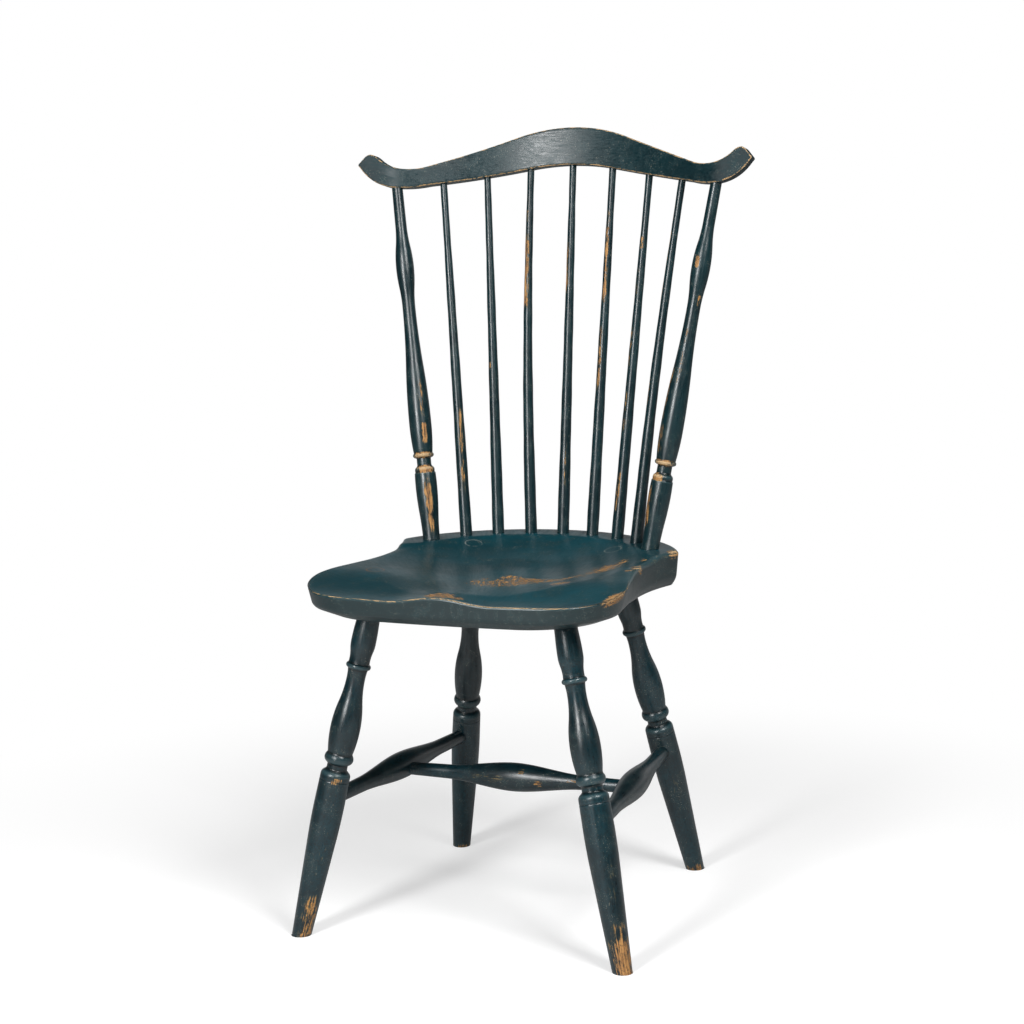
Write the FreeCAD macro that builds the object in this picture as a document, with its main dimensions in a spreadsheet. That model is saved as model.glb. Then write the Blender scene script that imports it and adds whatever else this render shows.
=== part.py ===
import FreeCAD, Part

import math
import os

import Sketcher

# A fan-back windsor side chair, in millimetres, +Z up, feet on Z = 0, front towards -Y.
# The origin lies on the floor under the middle of the chair.
# Plan places are given from a line across the seat, 232 mm behind its front edge, and the whole
# chair is then moved along Y so that the origin is the middle of its length.

os.makedirs("parts", exist_ok=True)
Vector = FreeCAD.Vector
doc = FreeCAD.newDocument("windsor_chair")
sheet = doc.addObject("Spreadsheet::Sheet", "sizes")

# Driving sizes: name, value, meaning
SIZES = [
    ("seat_height", 435.0, "floor to the flat deck that carries the spindles"),
    ("seat_thickness", 43.0, "plank at the deck"),
    ("seat_edge_height", 34.0, "sloping edge of the plank at the deck, above the underside bevel"),
    ("seat_front_reach", 232.0, "reference line to the front edge"),
    ("seat_back_reach", 195.0, "reference line to the back edge"),
    ("seat_back_radius", 207.0, "round of the back edge in plan"),
    ("seat_front_radius", 1200.0, "slight round of the front edge in plan"),
    ("seat_corner_radius", 78.0, "front corners in plan"),
    ("seat_deck_corner_radius", 12.0, "corners at the ends of the deck in plan"),
    ("waist_half_width", 170.0, "half width at the narrowest place"),
    ("waist_radius", 230.0, "hollow of the sides in plan"),
    ("waist_flare_reach", 57.0, "reference line to where the hollow runs out into the flare"),
    ("edge_front_inset", 2.5, "slope of the edge at the front"),
    ("edge_waist_inset", 3.5, "slope of the edge at the waist"),
    ("edge_back_inset", 3.0, "slope of the edge at the back"),
    ("edge_flare_reach", 40.0, "where the hollow runs out at the foot of the edge"),
    ("edge_corner_radius", 74.0, "front corners at the foot of the edge"),
    ("bevel_front_inset", 12.0, "underside bevel at the front edge"),
    ("bevel_waist_inset", 9.0, "underside bevel at the waist"),
    ("bevel_back_inset", 8.0, "underside bevel at the back edge"),
    ("bevel_flare_reach", 10.0, "where the hollow runs out on the underside"),
    ("bevel_corner_radius", 82.0, "front corners of the underside"),
    ("bowl_depth", 15.5, "deepest hollow of the saddle under its own rim"),
    ("bowl_radius", 158.0, "rim of the bowl, a crisp line in front of the spindles"),
    ("bowl_centre_reach", 5.0, "bowl centre in front of the reference line"),
    ("bowl_front_reach", 190.0, "bowl centre to the front of its rim, where the bowl is longer"),
    ("waist_drop", 3.5, "seat edge at the waist, below the deck"),
    ("pommel_drop", 8.5, "ridge in the middle of the front edge, below the deck"),
    ("thigh_drop", 7.0, "hollows each side of the pommel, below the pommel"),
    ("corner_drop", 6.0, "front corners, below the pommel"),
    ("leg_vase_radius", 18.0, "thickest place of a leg"),
    ("leg_seat_radius", 13.4, "leg where it meets the underside of the seat"),
    ("leg_tenon_tip_radius", 10.6, "tapered leg tenon at the top of the seat"),
    ("foot_radius", 11.2, "leg at the floor"),
    ("front_leg_half_spread", 122.2, "front leg axis at the underside of the seat, across"),
    ("front_leg_reach", 147.2, "front leg axis at the underside, forward"),
    ("front_foot_half_spread", 203.6, "front leg axis at the floor, across"),
    ("front_foot_reach", 199.1, "front leg axis at the floor, forward"),
    ("back_leg_half_spread", 100.1, "back leg axis at the underside of the seat, across"),
    ("back_leg_reach", 105.1, "back leg axis at the underside, backward"),
    ("back_foot_half_spread", 164.0, "back leg axis at the floor, across"),
    ("back_foot_reach", 190.6, "back leg axis at the floor, backward"),
    ("side_stretcher_height", 164.0, "side stretcher axis at the legs"),
    ("side_stretcher_end_radius", 8.6, "side stretcher where it enters a leg"),
    ("side_stretcher_swell_radius", 16.5, "side stretcher in the middle"),
    ("medial_stretcher_end_radius", 7.8, "medial stretcher where it enters a side stretcher"),
    ("medial_stretcher_swell_radius", 17.6, "medial stretcher in the middle"),
    ("medial_stretcher_drop", 3.0, "medial stretcher axis below the axes of the side stretchers"),
    ("stretcher_overrun", 5.0, "stretcher tenon past the axis of the piece it enters"),
    ("post_half_spread", 146.2, "post axis at the deck, across"),
    ("post_reach", 84.3, "post axis at the deck, backward"),
    ("post_top_inset", 49.2, "post axis at the crest, in from the tip of the ear"),
    ("post_vase_radius", 14.1, "thickest place of a post"),
    ("post_seat_radius", 10.7, "post where it meets the deck"),
    ("post_top_radius", 6.9, "post where it enters the crest"),
    ("post_tenon_tip_radius", 8.6, "tapered post tenon at the underside of the seat"),
    ("spindle_seat_radius", 7.6, "spindle where it meets the deck"),
    ("spindle_top_radius", 4.4, "spindle where it enters the crest"),
    ("spindle_arc_radius", 168.0, "line of the spindles in plan"),
    ("spindle_post_run", 60.0, "outermost spindle to the post, along the bow of the crest"),
    ("spindle_back_reach", 168.9, "middle spindle at the deck, backward"),
    ("spindle_tenon_length", 27.0, "blind spindle tenon in the seat"),
    ("crest_tenon_length", 20.0, "blind spindle and post tenons in the crest"),
    ("crest_height", 885.0, "reference height of the crest rail"),
    ("crest_reach", 229.5, "middle of the crest rail at that height, backward"),
    ("crest_thickness", 17.0, "crest rail, front to back"),
    ("crest_bend_radius", 330.0, "bow of the crest rail in plan"),
    ("crest_half_width", 262.0, "middle to the tip of an ear"),
    ("crest_rise", 61.0, "peak of the crest above its reference height, on the lean"),
    ("wedge_thickness", 3.4, "wedge at its wide end"),
    ("wedge_tip_thickness", 1.0, "wedge at its thin end"),
    ("wedge_length", 26.0, "wedge along the tenon"),
    ("peg_radius", 2.4, "pins that hold the post tenons in the crest"),
    ("peg_front_wall", 4.0, "wood left in front of a crest pin"),
    ("glue_gap", 0.08, "clearance all round a tenon, wedge or pin"),
    ("end_gap", 1.5, "room at the bottom of a blind hole"),
    ("overrun", 30.0, "how far every cutting tool runs past the wood"),
]
# Driving angles in degrees: name, value, meaning
ANGLES = [
    ("spindle_step_angle", 14.4, "spindles along their arc on the deck"),
    ("crest_lean", 10.0, "crest rail, leaning back from upright"),
    ("crest_bend_angle", 29.0, "half of the bow of the crest rail in plan"),
    ("crest_ear_angle", 10.0, "ears from straight across, where they turn back out of the bow"),
]

row_count = [0]


def put(alias, value, meaning):
    """Add one named cell to the sheet."""
    row_count[0] += 1
    row = str(row_count[0])
    sheet.set("A" + row, meaning)
    sheet.set("B" + row, repr(value))
    sheet.setAlias("B" + row, alias)


for alias, value, meaning in SIZES + ANGLES:
    put(alias, value, meaning)
sheet.recompute()


def size(alias):
    return float(getattr(sheet, alias))


# Worked-out sizes
SIN_LEAN = math.sin(math.radians(size("crest_lean")))
COS_LEAN = math.cos(math.radians(size("crest_lean")))
UNDERSIDE = size("seat_height") - size("seat_thickness")
CREST_BACK = (size("crest_reach") + size("crest_thickness") / 2 * COS_LEAN
              + size("crest_rise") * SIN_LEAN)
FRAME_SHIFT = (size("seat_front_reach") - CREST_BACK) / 2


def at(across, back, up):
    """A place given from the reference line, in the frame of the finished chair."""
    return Vector(across, back + FRAME_SHIFT, up)


def value_of(expression):
    return float(sheet.evalExpression(expression))


def plane_of(body, role):
    return next(plane for plane in body.Origin.OriginFeatures if plane.Role == role)


def arc_through(start, end, radius, turn):
    """Arc from start to end, turning left (+1) or right (-1), at most half a circle."""
    chord = end - start
    middle = (start + end) / 2
    left = Vector(-chord.y, chord.x, 0).normalize()
    height = math.sqrt(max(radius ** 2 - chord.Length ** 2 / 4, 0))
    centre = middle + left * height * turn
    first, last = (start, end) if turn > 0 else (end, start)
    angles = [math.atan2(point.y - centre.y, point.x - centre.x) for point in (first, last)]
    return Part.ArcOfCircle(Part.Circle(centre, Vector(0, 0, 1), radius), *angles)


def closed_sketch(body, name, role, corners):
    """A closed outline of lines and arcs.

    corners holds, for each corner, its two places and the edge to the next corner: None for a
    straight edge, or the radius and turn of an arc. Places and radii are expressions on the sheet.
    """
    sketch = body.newObject("Sketcher::SketchObject", name)
    sketch.AttachmentSupport = (plane_of(body, role), [""])
    sketch.MapMode = "FlatFace"
    places = [Vector(value_of(first), value_of(second), 0) for first, second, edge in corners]
    edges = []
    starts = []
    for index, (first, second, edge) in enumerate(corners):
        begin, end = places[index], places[(index + 1) % len(places)]
        if edge is None:
            edges.append(Part.LineSegment(begin, end))
            starts.append(1)
        else:
            radius, turn = edge
            edges.append(arc_through(begin, end, value_of(radius), turn))
            starts.append(1 if turn > 0 else 2)
    sketch.addGeometry(edges, False)
    rules = []
    bound = []
    for index, (first, second, edge) in enumerate(corners):
        after = (index + 1) % len(corners)
        rules.append(Sketcher.Constraint("Coincident", index, 3 - starts[index], after, starts[after]))
        for kind, expression, place in (("DistanceX", first, places[index].x),
                                        ("DistanceY", second, places[index].y)):
            bound.append((len(rules), expression))
            rules.append(Sketcher.Constraint(kind, -1, 1, index, starts[index], place))
        if edge is not None:
            bound.append((len(rules), edge[0]))
            rules.append(Sketcher.Constraint("Radius", index, value_of(edge[0])))
    sketch.addConstraint(rules)
    for number, expression in bound:
        sketch.renameConstraint(number, "size_%d" % number)
        sketch.setExpression("Constraints.size_%d" % number, expression)
    return sketch


SEEN_BACKWARD = {"line": "line", "ogee": "ogee", "swell": "fall", "fall": "swell"}


def edge_run(stations, place):
    """Sketch corners of a shaped edge, whose inside lies on the left of the way along it.

    stations hold how far along, how far out, and the curve to the next station: a "line", a
    "swell" that leaves this station straight along, a "fall" that arrives straight along at the
    next one, or an "ogee" that does both. place puts along and out in the sketch's own order.
    """
    corners = []
    for (here, out, curve), (there, next_out, unused) in zip(stations, stations[1:]):
        run = "(%s - (%s))" % (there, here)
        step = "(%s - (%s))" % (next_out, out)
        growing = value_of(step) > 0
        if curve == "line":
            corners.append(place(here, out) + (None,))
            continue
        share = 4 if curve == "ogee" else 2
        radius = "(%s ^ 2 + %s ^ 2) / (%d * abs(%s))" % (run, step, share, step)
        outward = growing == (curve == "fall")
        corners.append(place(here, out) + ((radius, 1 if outward else -1),))
        if curve == "ogee":
            halfway = place("(%s + (%s)) / 2" % (here, there), "(%s + (%s)) / 2" % (out, next_out))
            corners.append(halfway + ((radius, 1 if growing else -1),))
            corners[-2] = corners[-2][:2] + ((radius, -1 if growing else 1),)
    corners.append(place(*stations[-1][:2]) + (None,))
    return corners


def backward(stations, flip):
    """The same stations from the other end, with flip to say how far along each one then is."""
    curves = [SEEN_BACKWARD[curve] for here, out, curve in stations[:-1]][::-1] + ["line"]
    return [(flip(here), out, curve)
            for (here, out, unused), curve in zip(reversed(stations), curves)]


def turning(name, stations):
    """A turned piece on its own Z axis, with stations up the piece and radii for how far out."""
    body = doc.addObject("PartDesign::Body", name)
    corners = [("0", stations[0][0], None)] + edge_run(stations, lambda here, out: (out, here))
    corners.append(("0", stations[-1][0], None))
    profile = closed_sketch(body, name + "_profile", "XZ_Plane", corners)
    turned = body.newObject("PartDesign::Revolution", name + "_turned")
    turned.Profile = profile
    turned.ReferenceAxis = (profile, ["V_Axis"])
    turned.Angle = 360
    return body


def along(start, end, cross=Vector(1, 0, 0)):
    """Placement that stands Z along start to end, with X as near to cross as it can be."""
    return FreeCAD.Placement(start, FreeCAD.Rotation(cross, Vector(0, 0, 0), end - start, "ZXY"))


def drill(name, placement, start, length, radius):
    """A round cutting tool along a placement's Z; start, length and radius are expressions."""
    tool = doc.addObject("Part::Cylinder", name)
    tool.setExpression("Radius", radius)
    tool.setExpression("Height", length)
    tool.Placement = placement * FreeCAD.Placement(Vector(0, 0, value_of(start)), FreeCAD.Rotation())
    return tool


def taper(name, placement, start, length, start_radius, end_radius):
    """A conical tool or tenon along a placement's Z; all four sizes are expressions."""
    tool = doc.addObject("Part::Cone", name)
    tool.setExpression("Radius1", start_radius)
    tool.setExpression("Radius2", end_radius)
    tool.setExpression("Height", length)
    tool.Placement = placement * FreeCAD.Placement(Vector(0, 0, value_of(start)), FreeCAD.Rotation())
    return tool


def together(name, tools):
    fused = doc.addObject("Part::MultiFuse", name)
    fused.Shapes = tools
    return fused


def cut(name, base, tools):
    """base less the tools, as the finished sub-part called name."""
    piece = doc.addObject("Part::Cut", name)
    piece.Base = base
    piece.Tool = tools[0] if len(tools) == 1 else together(name + "_tools", tools)
    return piece


def smooth(share):
    """0 up to 0, 1 from 1, and an even S between."""
    share = min(max(share, 0), 1)
    return share * share * (3 - 2 * share)


def two_circles(first, first_radius, second, second_radius):
    """The rear one of the two places where two circles cross."""
    apart = second - first
    run = (apart.Length ** 2 + first_radius ** 2 - second_radius ** 2) / (2 * apart.Length)
    rise = math.sqrt(first_radius ** 2 - run ** 2)
    ahead = apart / apart.Length
    places = [first + ahead * run + Vector(-ahead.y, ahead.x, 0) * rise * side for side in (1, -1)]
    return max(places, key=lambda place: place.y)


# The seat: a plank with a shield outline, bevelled below and saddled above

def plank_outline(name, front_inset, waist_inset, back_inset, flare_reach, corner_radius):
    """Corners of the plank's outline, drawn in by the insets, anticlockwise from the front right."""
    front_radius = size("seat_front_radius") - front_inset
    front_centre = Vector(0, size("seat_front_radius") - size("seat_front_reach"), 0)
    waist_radius = size("waist_radius") + waist_inset
    waist_centre = Vector(size("waist_half_width") + size("waist_radius"), 0, 0)
    back_radius = size("seat_back_radius") - back_inset
    back_centre = Vector(0, size("seat_back_reach") - size("seat_back_radius"), 0)
    end_radius = size("seat_deck_corner_radius")
    flare_angle = math.asin(flare_reach / size("waist_radius"))
    inward = Vector(-math.cos(flare_angle), -math.sin(flare_angle), 0)
    forward = Vector(math.sin(flare_angle), -math.cos(flare_angle), 0)
    flare = waist_centre + inward * waist_radius
    start = flare + inward * corner_radius - front_centre
    ahead = start.dot(forward)
    reach = (front_radius - corner_radius) ** 2 - start.Length ** 2 + ahead ** 2
    run = math.sqrt(reach) - ahead
    corner_centre = front_centre + start + forward * run
    front = front_centre + (corner_centre - front_centre).normalize() * front_radius
    end_centre = two_circles(back_centre, back_radius - end_radius,
                             waist_centre, waist_radius + end_radius)
    waist = waist_centre + (end_centre - waist_centre).normalize() * waist_radius
    back = back_centre + (end_centre - back_centre).normalize() * back_radius
    for label, place in (("front", front), ("corner", flare + forward * run), ("flare", flare),
                         ("waist", waist), ("back", back)):
        put("%s_%s_across" % (name, label), place.x, "plank outline, worked out")
        put("%s_%s_along" % (name, label), place.y, "plank outline, worked out")
    for label, radius in (("front", front_radius), ("corner", corner_radius),
                          ("waist", waist_radius), ("back", back_radius)):
        put("%s_%s_radius" % (name, label), radius, "plank outline, worked out")
    sheet.recompute()
    edges = [("front", "corner", 1), ("corner", None, 0), ("flare", "waist", -1),
             ("waist", "end", 1), ("back", "back", 1)]
    radii = {label: "sizes.%s_%s_radius" % (name, label)
             for label in ("front", "corner", "waist", "back")}
    radii["end"] = "sizes.seat_deck_corner_radius"
    right = [("sizes.%s_%s_across" % (name, label), "sizes.%s_%s_along" % (name, label),
              (radii[kind], turn) if kind else None) for label, kind, turn in edges]
    back_edges = [("back", "end", 1), ("waist", "waist", -1), ("flare", None, 0),
                  ("corner", "corner", 1), ("front", "front", 1)]
    left = [("-sizes.%s_%s_across" % (name, label), "sizes.%s_%s_along" % (name, label),
             (radii[kind], turn) if kind else None) for label, kind, turn in back_edges]
    return right + left


plank = doc.addObject("PartDesign::Body", "seat_plank")
plank.Placement = FreeCAD.Placement(at(0, 0, UNDERSIDE), FreeCAD.Rotation())
rim = closed_sketch(plank, "seat_rim", "XY_Plane",
                    plank_outline("rim", 0, 0, 0, size("waist_flare_reach"), size("seat_corner_radius")))
rim.setExpression("AttachmentOffset.Base.z", "sizes.seat_thickness")
edge_foot = closed_sketch(plank, "seat_edge_foot", "XY_Plane", plank_outline(
    "edge_foot", size("edge_front_inset"), size("edge_waist_inset"), size("edge_back_inset"),
    size("edge_flare_reach"), size("edge_corner_radius")))
edge_foot.setExpression("AttachmentOffset.Base.z", "sizes.seat_thickness - sizes.seat_edge_height")
under = closed_sketch(plank, "seat_underside", "XY_Plane", plank_outline(
    "under", size("bevel_front_inset"), size("bevel_waist_inset"), size("bevel_back_inset"),
    size("bevel_flare_reach"), size("bevel_corner_radius")))
slope = plank.newObject("PartDesign::AdditiveLoft", "seat_slope")
slope.Profile = under
slope.Sections = [edge_foot, rim]
slope.Ruled = True

# Where the parts of the saddle run, as shares of the bowl's radius from the reference line
DECK_BLEND_SHARES = (0.13, 0.50)
WAIST_BLEND_SHARES = (0.10, 0.50)
POMMEL_BLEND_SHARES = (0.60, 1.30)
THIGH_BLEND_SHARES = (0.70, 1.42)
THIGH_ACROSS_SHARE = 0.42
CORNER_ACROSS_SHARE = 1.20
REAR_BOWL_POWER = 3
FRONT_BOWL_POWER = 1.35
GRID_ACROSS = 12
GRID_ALONG = 14


def between(reach, shares):
    """How far reach has come from the first share of the bowl's radius to the second."""
    low, high = (share * size("bowl_radius") for share in shares)
    return smooth((reach - low) / (high - low))


def saddle_drop(across, along_seat):
    """Depth of the saddled surface under the deck.

    The bowl is round behind, where it meets the deck in a crisp rim, and half an oval in front,
    where it fades out smoothly. The seat falls a little to the waist, then forward to a ridge,
    the pommel, between two thigh hollows.
    """
    from_centre = along_seat + size("bowl_centre_reach")
    reach = size("bowl_radius") if from_centre > 0 else size("bowl_front_reach")
    spread = math.hypot(across / size("bowl_radius"), from_centre / reach)
    behind = between(along_seat, DECK_BLEND_SHARES)
    bowl = behind * (1 - spread ** REAR_BOWL_POWER)
    bowl += (1 - behind) * max(1 - spread ** 2, 0) ** FRONT_BOWL_POWER
    waist = size("waist_drop") * (1 - between(along_seat, WAIST_BLEND_SHARES))
    pommel = (size("pommel_drop") - size("waist_drop")) * between(-along_seat, POMMEL_BLEND_SHARES)
    side = abs(across) / size("bowl_radius")
    thigh = size("thigh_drop") * math.sin(math.pi / 2 * min(side / THIGH_ACROSS_SHARE, 1)) ** 2
    toward_corner = smooth((side - THIGH_ACROSS_SHARE) / (CORNER_ACROSS_SHARE - THIGH_ACROSS_SHARE))
    thigh -= (size("thigh_drop") - size("corner_drop")) * toward_corner
    return size("bowl_depth") * bowl + waist + pommel + thigh * between(-along_seat, THIGH_BLEND_SHARES)


def saddle_tool():
    """All the room above the saddled surface, which runs past the plank on every side."""
    half_width = size("waist_half_width") + size("overrun") * 2
    front = -size("seat_front_reach") - size("overrun")
    back = size("seat_back_reach")
    rows = []
    for step_across in range(GRID_ACROSS + 1):
        across = half_width * (2 * step_across / GRID_ACROSS - 1)
        row = []
        for step_along in range(GRID_ALONG + 1):
            along_seat = front + (back - front) * step_along / GRID_ALONG
            up = size("seat_height") - saddle_drop(across, along_seat)
            row.append(at(across, along_seat, up))
        rows.append(row)
    surface = Part.BSplineSurface()
    surface.interpolate(rows)
    top = size("leg_vase_radius") + size("overrun") * 4
    return surface.toShape().extrude(Vector(0, 0, top))


saddle = doc.addObject("Part::Feature", "saddle_room")
saddle.Shape = saddle_tool()

# Legs, with tapered tenons right through the seat

LEG_TENON = "(sizes.seat_thickness + sizes.overrun)"
LEG_TAPER = "(sizes.leg_seat_radius - sizes.leg_tenon_tip_radius) / sizes.seat_thickness"
LEG_END_RADIUS = "(sizes.leg_tenon_tip_radius - %s * sizes.overrun)" % LEG_TAPER

# Turning of a leg below the seat: share of its length, share of its vase radius, curve
LEG_TURNING_SHARES = [
    (0.102, 0.822, "ogee"), (0.156, 0.690, "line"), (0.166, 0.700, "fall"), (0.174, 0.825, "swell"),
    (0.182, 0.665, "fall"), (0.211, 0.612, "ogee"), (0.365, 0.989, "swell"), (0.437, 0.835, "line"),
    (0.441, 0.850, "fall"), (0.455, 0.965, "swell"), (0.469, 0.800, "line"), (0.473, 0.680, "line"),
    (0.488, 0.690, "line"), (0.494, 0.830, "fall"), (0.507, 0.990, "line"), (0.600, 1.015, "swell"),
    (0.680, 0.985, "line"),
]

floor_block = doc.addObject("Part::Box", "below_the_floor")
underside_block = doc.addObject("Part::Box", "below_the_seat")
for block, top in ((floor_block, 0), (underside_block, UNDERSIDE)):
    for side in ("Length", "Width", "Height"):
        block.setExpression(side, "sizes.seat_height * 2")
    span = size("seat_height")
    block.Placement = FreeCAD.Placement(Vector(-span, -span, top - span * 2), FreeCAD.Rotation())

CORNERS = [("front", "left", -1), ("front", "right", 1), ("back", "left", -1), ("back", "right", 1)]
leg_lines = {}
for end, side, sign in CORNERS:
    forward = -1 if end == "front" else 1
    top = at(sign * size(end + "_leg_half_spread"), forward * size(end + "_leg_reach"), UNDERSIDE)
    foot = at(sign * size(end + "_foot_half_spread"), forward * size(end + "_foot_reach"), 0)
    leg_lines[end, side] = (top, foot)
for end in ("front", "back"):
    top, foot = leg_lines[end, "right"]
    put(end + "_leg_length", (foot - top).Length, "leg along its axis below the seat, worked out")
sheet.recompute()


def leg_point(end, side, height):
    """The place on a leg's axis at a height."""
    top, foot = leg_lines[end, side]
    return foot + (top - foot) * (height / top.z)


def wedge_tool(name, placement, room):
    """A long thin wedge, thick end at the placement's origin, pointing along its Z.

    room is the clearance added all round it, as an expression.
    """
    tool = doc.addObject("Part::Wedge", name)
    thick = "(sizes.wedge_thickness / 2 + %s)" % room
    thin = "(sizes.wedge_tip_thickness / 2 + %s)" % room
    width = "(sizes.leg_vase_radius)"
    for prop, expression in (("Xmin", "-" + thick), ("Xmax", thick),
                             ("X2min", "-" + thin), ("X2max", thin),
                             ("Zmin", "-" + width), ("Zmax", width),
                             ("Z2min", "-" + width), ("Z2max", width),
                             ("Ymin", "0"), ("Ymax", "sizes.wedge_length + %s" % room)):
        tool.setExpression(prop, expression)
    turn = FreeCAD.Rotation(Vector(0, 1, 0), Vector(0, 0, 1), Vector(1, 0, 0), "ZXY")
    tool.Placement = placement * FreeCAD.Placement(Vector(0, 0, 0), turn)
    return tool


parts = {}
seat_tools = [saddle]
stretcher_lines = {}
for side, sign in (("left", -1), ("right", 1)):
    height = size("side_stretcher_height")
    stretcher_lines[side] = (leg_point("front", side, height), leg_point("back", side, height))

for end, side, sign in CORNERS:
    name = "leg_%s_%s" % (end, side)
    top, foot = leg_lines[end, side]
    place = along(top, foot)
    length = "sizes.%s_leg_length" % end
    stations = [("-" + LEG_TENON, LEG_END_RADIUS, "line"), ("0", "sizes.leg_seat_radius", "ogee")]
    stations += [("%s * %g" % (length, down), "sizes.leg_vase_radius * %g" % out, curve)
                 for down, out, curve in LEG_TURNING_SHARES]
    stations += [(length + " + sizes.overrun / 2", "sizes.foot_radius", "line")]
    blank = turning(name + "_blank", stations)
    blank.Placement = place
    start, finish = stretcher_lines[side]
    if end == "back":
        start, finish = finish, start
    mortise = drill(name + "_mortise", along(start, finish), "-sizes.stretcher_overrun - sizes.end_gap",
                    "sizes.leg_vase_radius * 2", "sizes.side_stretcher_end_radius + sizes.glue_gap")
    # The tenon meets the top of the seat where the axis crosses the saddled surface
    climb = (top - foot).normalize()
    crown = top + climb * (size("seat_thickness") / climb.z)
    drop = saddle_drop(crown.x, crown.y - FRAME_SHIFT)
    crown = top + climb * ((size("seat_thickness") - drop) / climb.z)
    wedge_place = along(crown, foot)
    kerf = wedge_tool(name + "_kerf", wedge_place, "sizes.glue_gap")
    parts[name] = cut(name, blank, [floor_block, saddle, mortise, kerf])
    prism = wedge_tool(name + "_wedge_blank", wedge_place, "0")
    sleeve = taper(name + "_tenon_round", place, "-" + LEG_TENON, LEG_TENON, LEG_END_RADIUS,
                   "sizes.leg_seat_radius")
    rounded = doc.addObject("Part::Common", name + "_wedge_round")
    rounded.Base = prism
    rounded.Tool = sleeve
    wedge_name = "leg_wedge_%s_%s" % (end, side)
    parts[wedge_name] = cut(wedge_name, rounded, [saddle])
    run = "(sizes.seat_thickness + 2 * sizes.overrun)"
    seat_tools.append(taper(name + "_socket", place, "-" + LEG_TENON, run,
                            LEG_END_RADIUS + " + sizes.glue_gap",
                            "sizes.leg_seat_radius + %s * sizes.overrun + sizes.glue_gap" % LEG_TAPER))

# Stretchers: two from front to back, and one between their middles

# Half of a stretcher from its end: share of its length, share of its swell radius, curve
SIDE_TURNING_SHARES = [(0.27, 0.640, "line"), (0.33, 0.730, "line"), (0.41, 0.930, "line"),
                       (0.46, 0.985, "line"), (0.50, 1.0, "line")]
MEDIAL_TURNING_SHARES = [(0.28, 0.545, "line"), (0.34, 0.640, "line"), (0.41, 0.880, "line"),
                         (0.45, 0.965, "line"), (0.50, 1.0, "line")]


def stretcher(name, kind, start, finish, cross, shares, host_radius):
    """A stretcher between two axes, the same from both ends.

    Its round tenons run past both axes and stay straight as far as the host's surface.
    """
    put(name + "_length", (finish - start).Length, "between the axes it joins, worked out")
    sheet.recompute()
    length = "sizes.%s_length" % name
    end_radius = "sizes.%s_end_radius" % kind
    swell_radius = "sizes.%s_swell_radius" % kind
    half = [("-sizes.stretcher_overrun", end_radius, "line"), (host_radius, end_radius, "line")]
    half += [("%s * %g" % (length, far), "%s * %g" % (swell_radius, out), curve)
             for far, out, curve in shares]
    stations = half[:-1] + backward(half, lambda here: "%s - (%s)" % (length, here))
    body = turning(name + "_blank", stations)
    body.Placement = along(start, finish, cross)
    return body


UPWARD = Vector(0, 0, 1)
middles = {}
for side in ("left", "right"):
    start, finish = stretcher_lines[side]
    middles[side] = (start + finish) / 2 - UPWARD * size("medial_stretcher_drop")
for side, other in (("left", "right"), ("right", "left")):
    name = "side_stretcher_" + side
    start, finish = stretcher_lines[side]
    blank = stretcher(name, "side_stretcher", start, finish, Vector(1, 0, 0), SIDE_TURNING_SHARES,
                      "sizes.leg_vase_radius")
    inward = along(middles[side], middles[other], UPWARD)
    mortise = drill(name + "_mortise", inward, "-sizes.stretcher_overrun - sizes.end_gap",
                    "sizes.side_stretcher_swell_radius * 2",
                    "sizes.medial_stretcher_end_radius + sizes.glue_gap")
    parts[name] = cut(name, blank, [mortise])
medial = stretcher("medial_stretcher", "medial_stretcher", middles["left"], middles["right"], UPWARD,
                   MEDIAL_TURNING_SHARES, "sizes.side_stretcher_swell_radius")
parts["medial_stretcher"] = medial

# The crest rail: a band bent in plan, leaning back, cut to a serpentine outline with raised ears

rail_place = FreeCAD.Placement(at(0, size("crest_reach"), size("crest_height")),
                               FreeCAD.Rotation(Vector(1, 0, 0), -size("crest_lean")))

# Where the bow straightens out and turns back, as shares of the half width
EAR_START_SHARE = 0.75
EAR_RADIUS_SHARE = 0.42


def rail_plan():
    """Places along the middle of the rail in plan and its direction there, as angles."""
    bow = math.radians(size("crest_bend_angle"))
    ear = math.radians(size("crest_ear_angle"))
    radius = size("crest_bend_radius")
    ear_radius = size("crest_half_width") * EAR_RADIUS_SHARE
    end_of_bow = Vector(radius * math.sin(bow), -radius * (1 - math.cos(bow)), 0)
    run = (size("crest_half_width") * EAR_START_SHARE - end_of_bow.x) / math.cos(bow)
    ear_start = end_of_bow + Vector(math.cos(bow), -math.sin(bow), 0) * run
    ear_centre = ear_start + Vector(math.sin(bow), math.cos(bow), 0) * ear_radius
    ear_end = ear_centre - Vector(math.sin(ear), math.cos(ear), 0) * ear_radius
    run = (size("crest_half_width") + size("overrun") - ear_end.x) / math.cos(ear)
    tip = ear_end + Vector(math.cos(ear), -math.sin(ear), 0) * run
    return [(end_of_bow, bow), (ear_start, bow), (ear_end, ear), (tip, ear)]


def rail_middle(across):
    """Middle of the rail's thickness in plan at a distance across, and its direction there."""
    sign = 1 if across > 0 else -1
    (end_of_bow, bow), (ear_start, bow_again), (ear_end, ear), (tip, ear_again) = rail_plan()
    reach = abs(across)
    radius = size("crest_bend_radius")
    ear_radius = size("crest_half_width") * EAR_RADIUS_SHARE
    if reach < end_of_bow.x:
        angle = math.asin(reach / radius)
        back = -radius * (1 - math.cos(angle))
    elif reach < ear_start.x:
        angle = bow
        back = end_of_bow.y - (reach - end_of_bow.x) * math.tan(bow)
    else:
        centre = ear_start + Vector(math.sin(bow), math.cos(bow), 0) * ear_radius
        angle = max(math.asin(min((centre.x - reach) / ear_radius, 1)), ear)
        back = centre.y - ear_radius * math.cos(angle)
    return back, angle * sign


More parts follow.
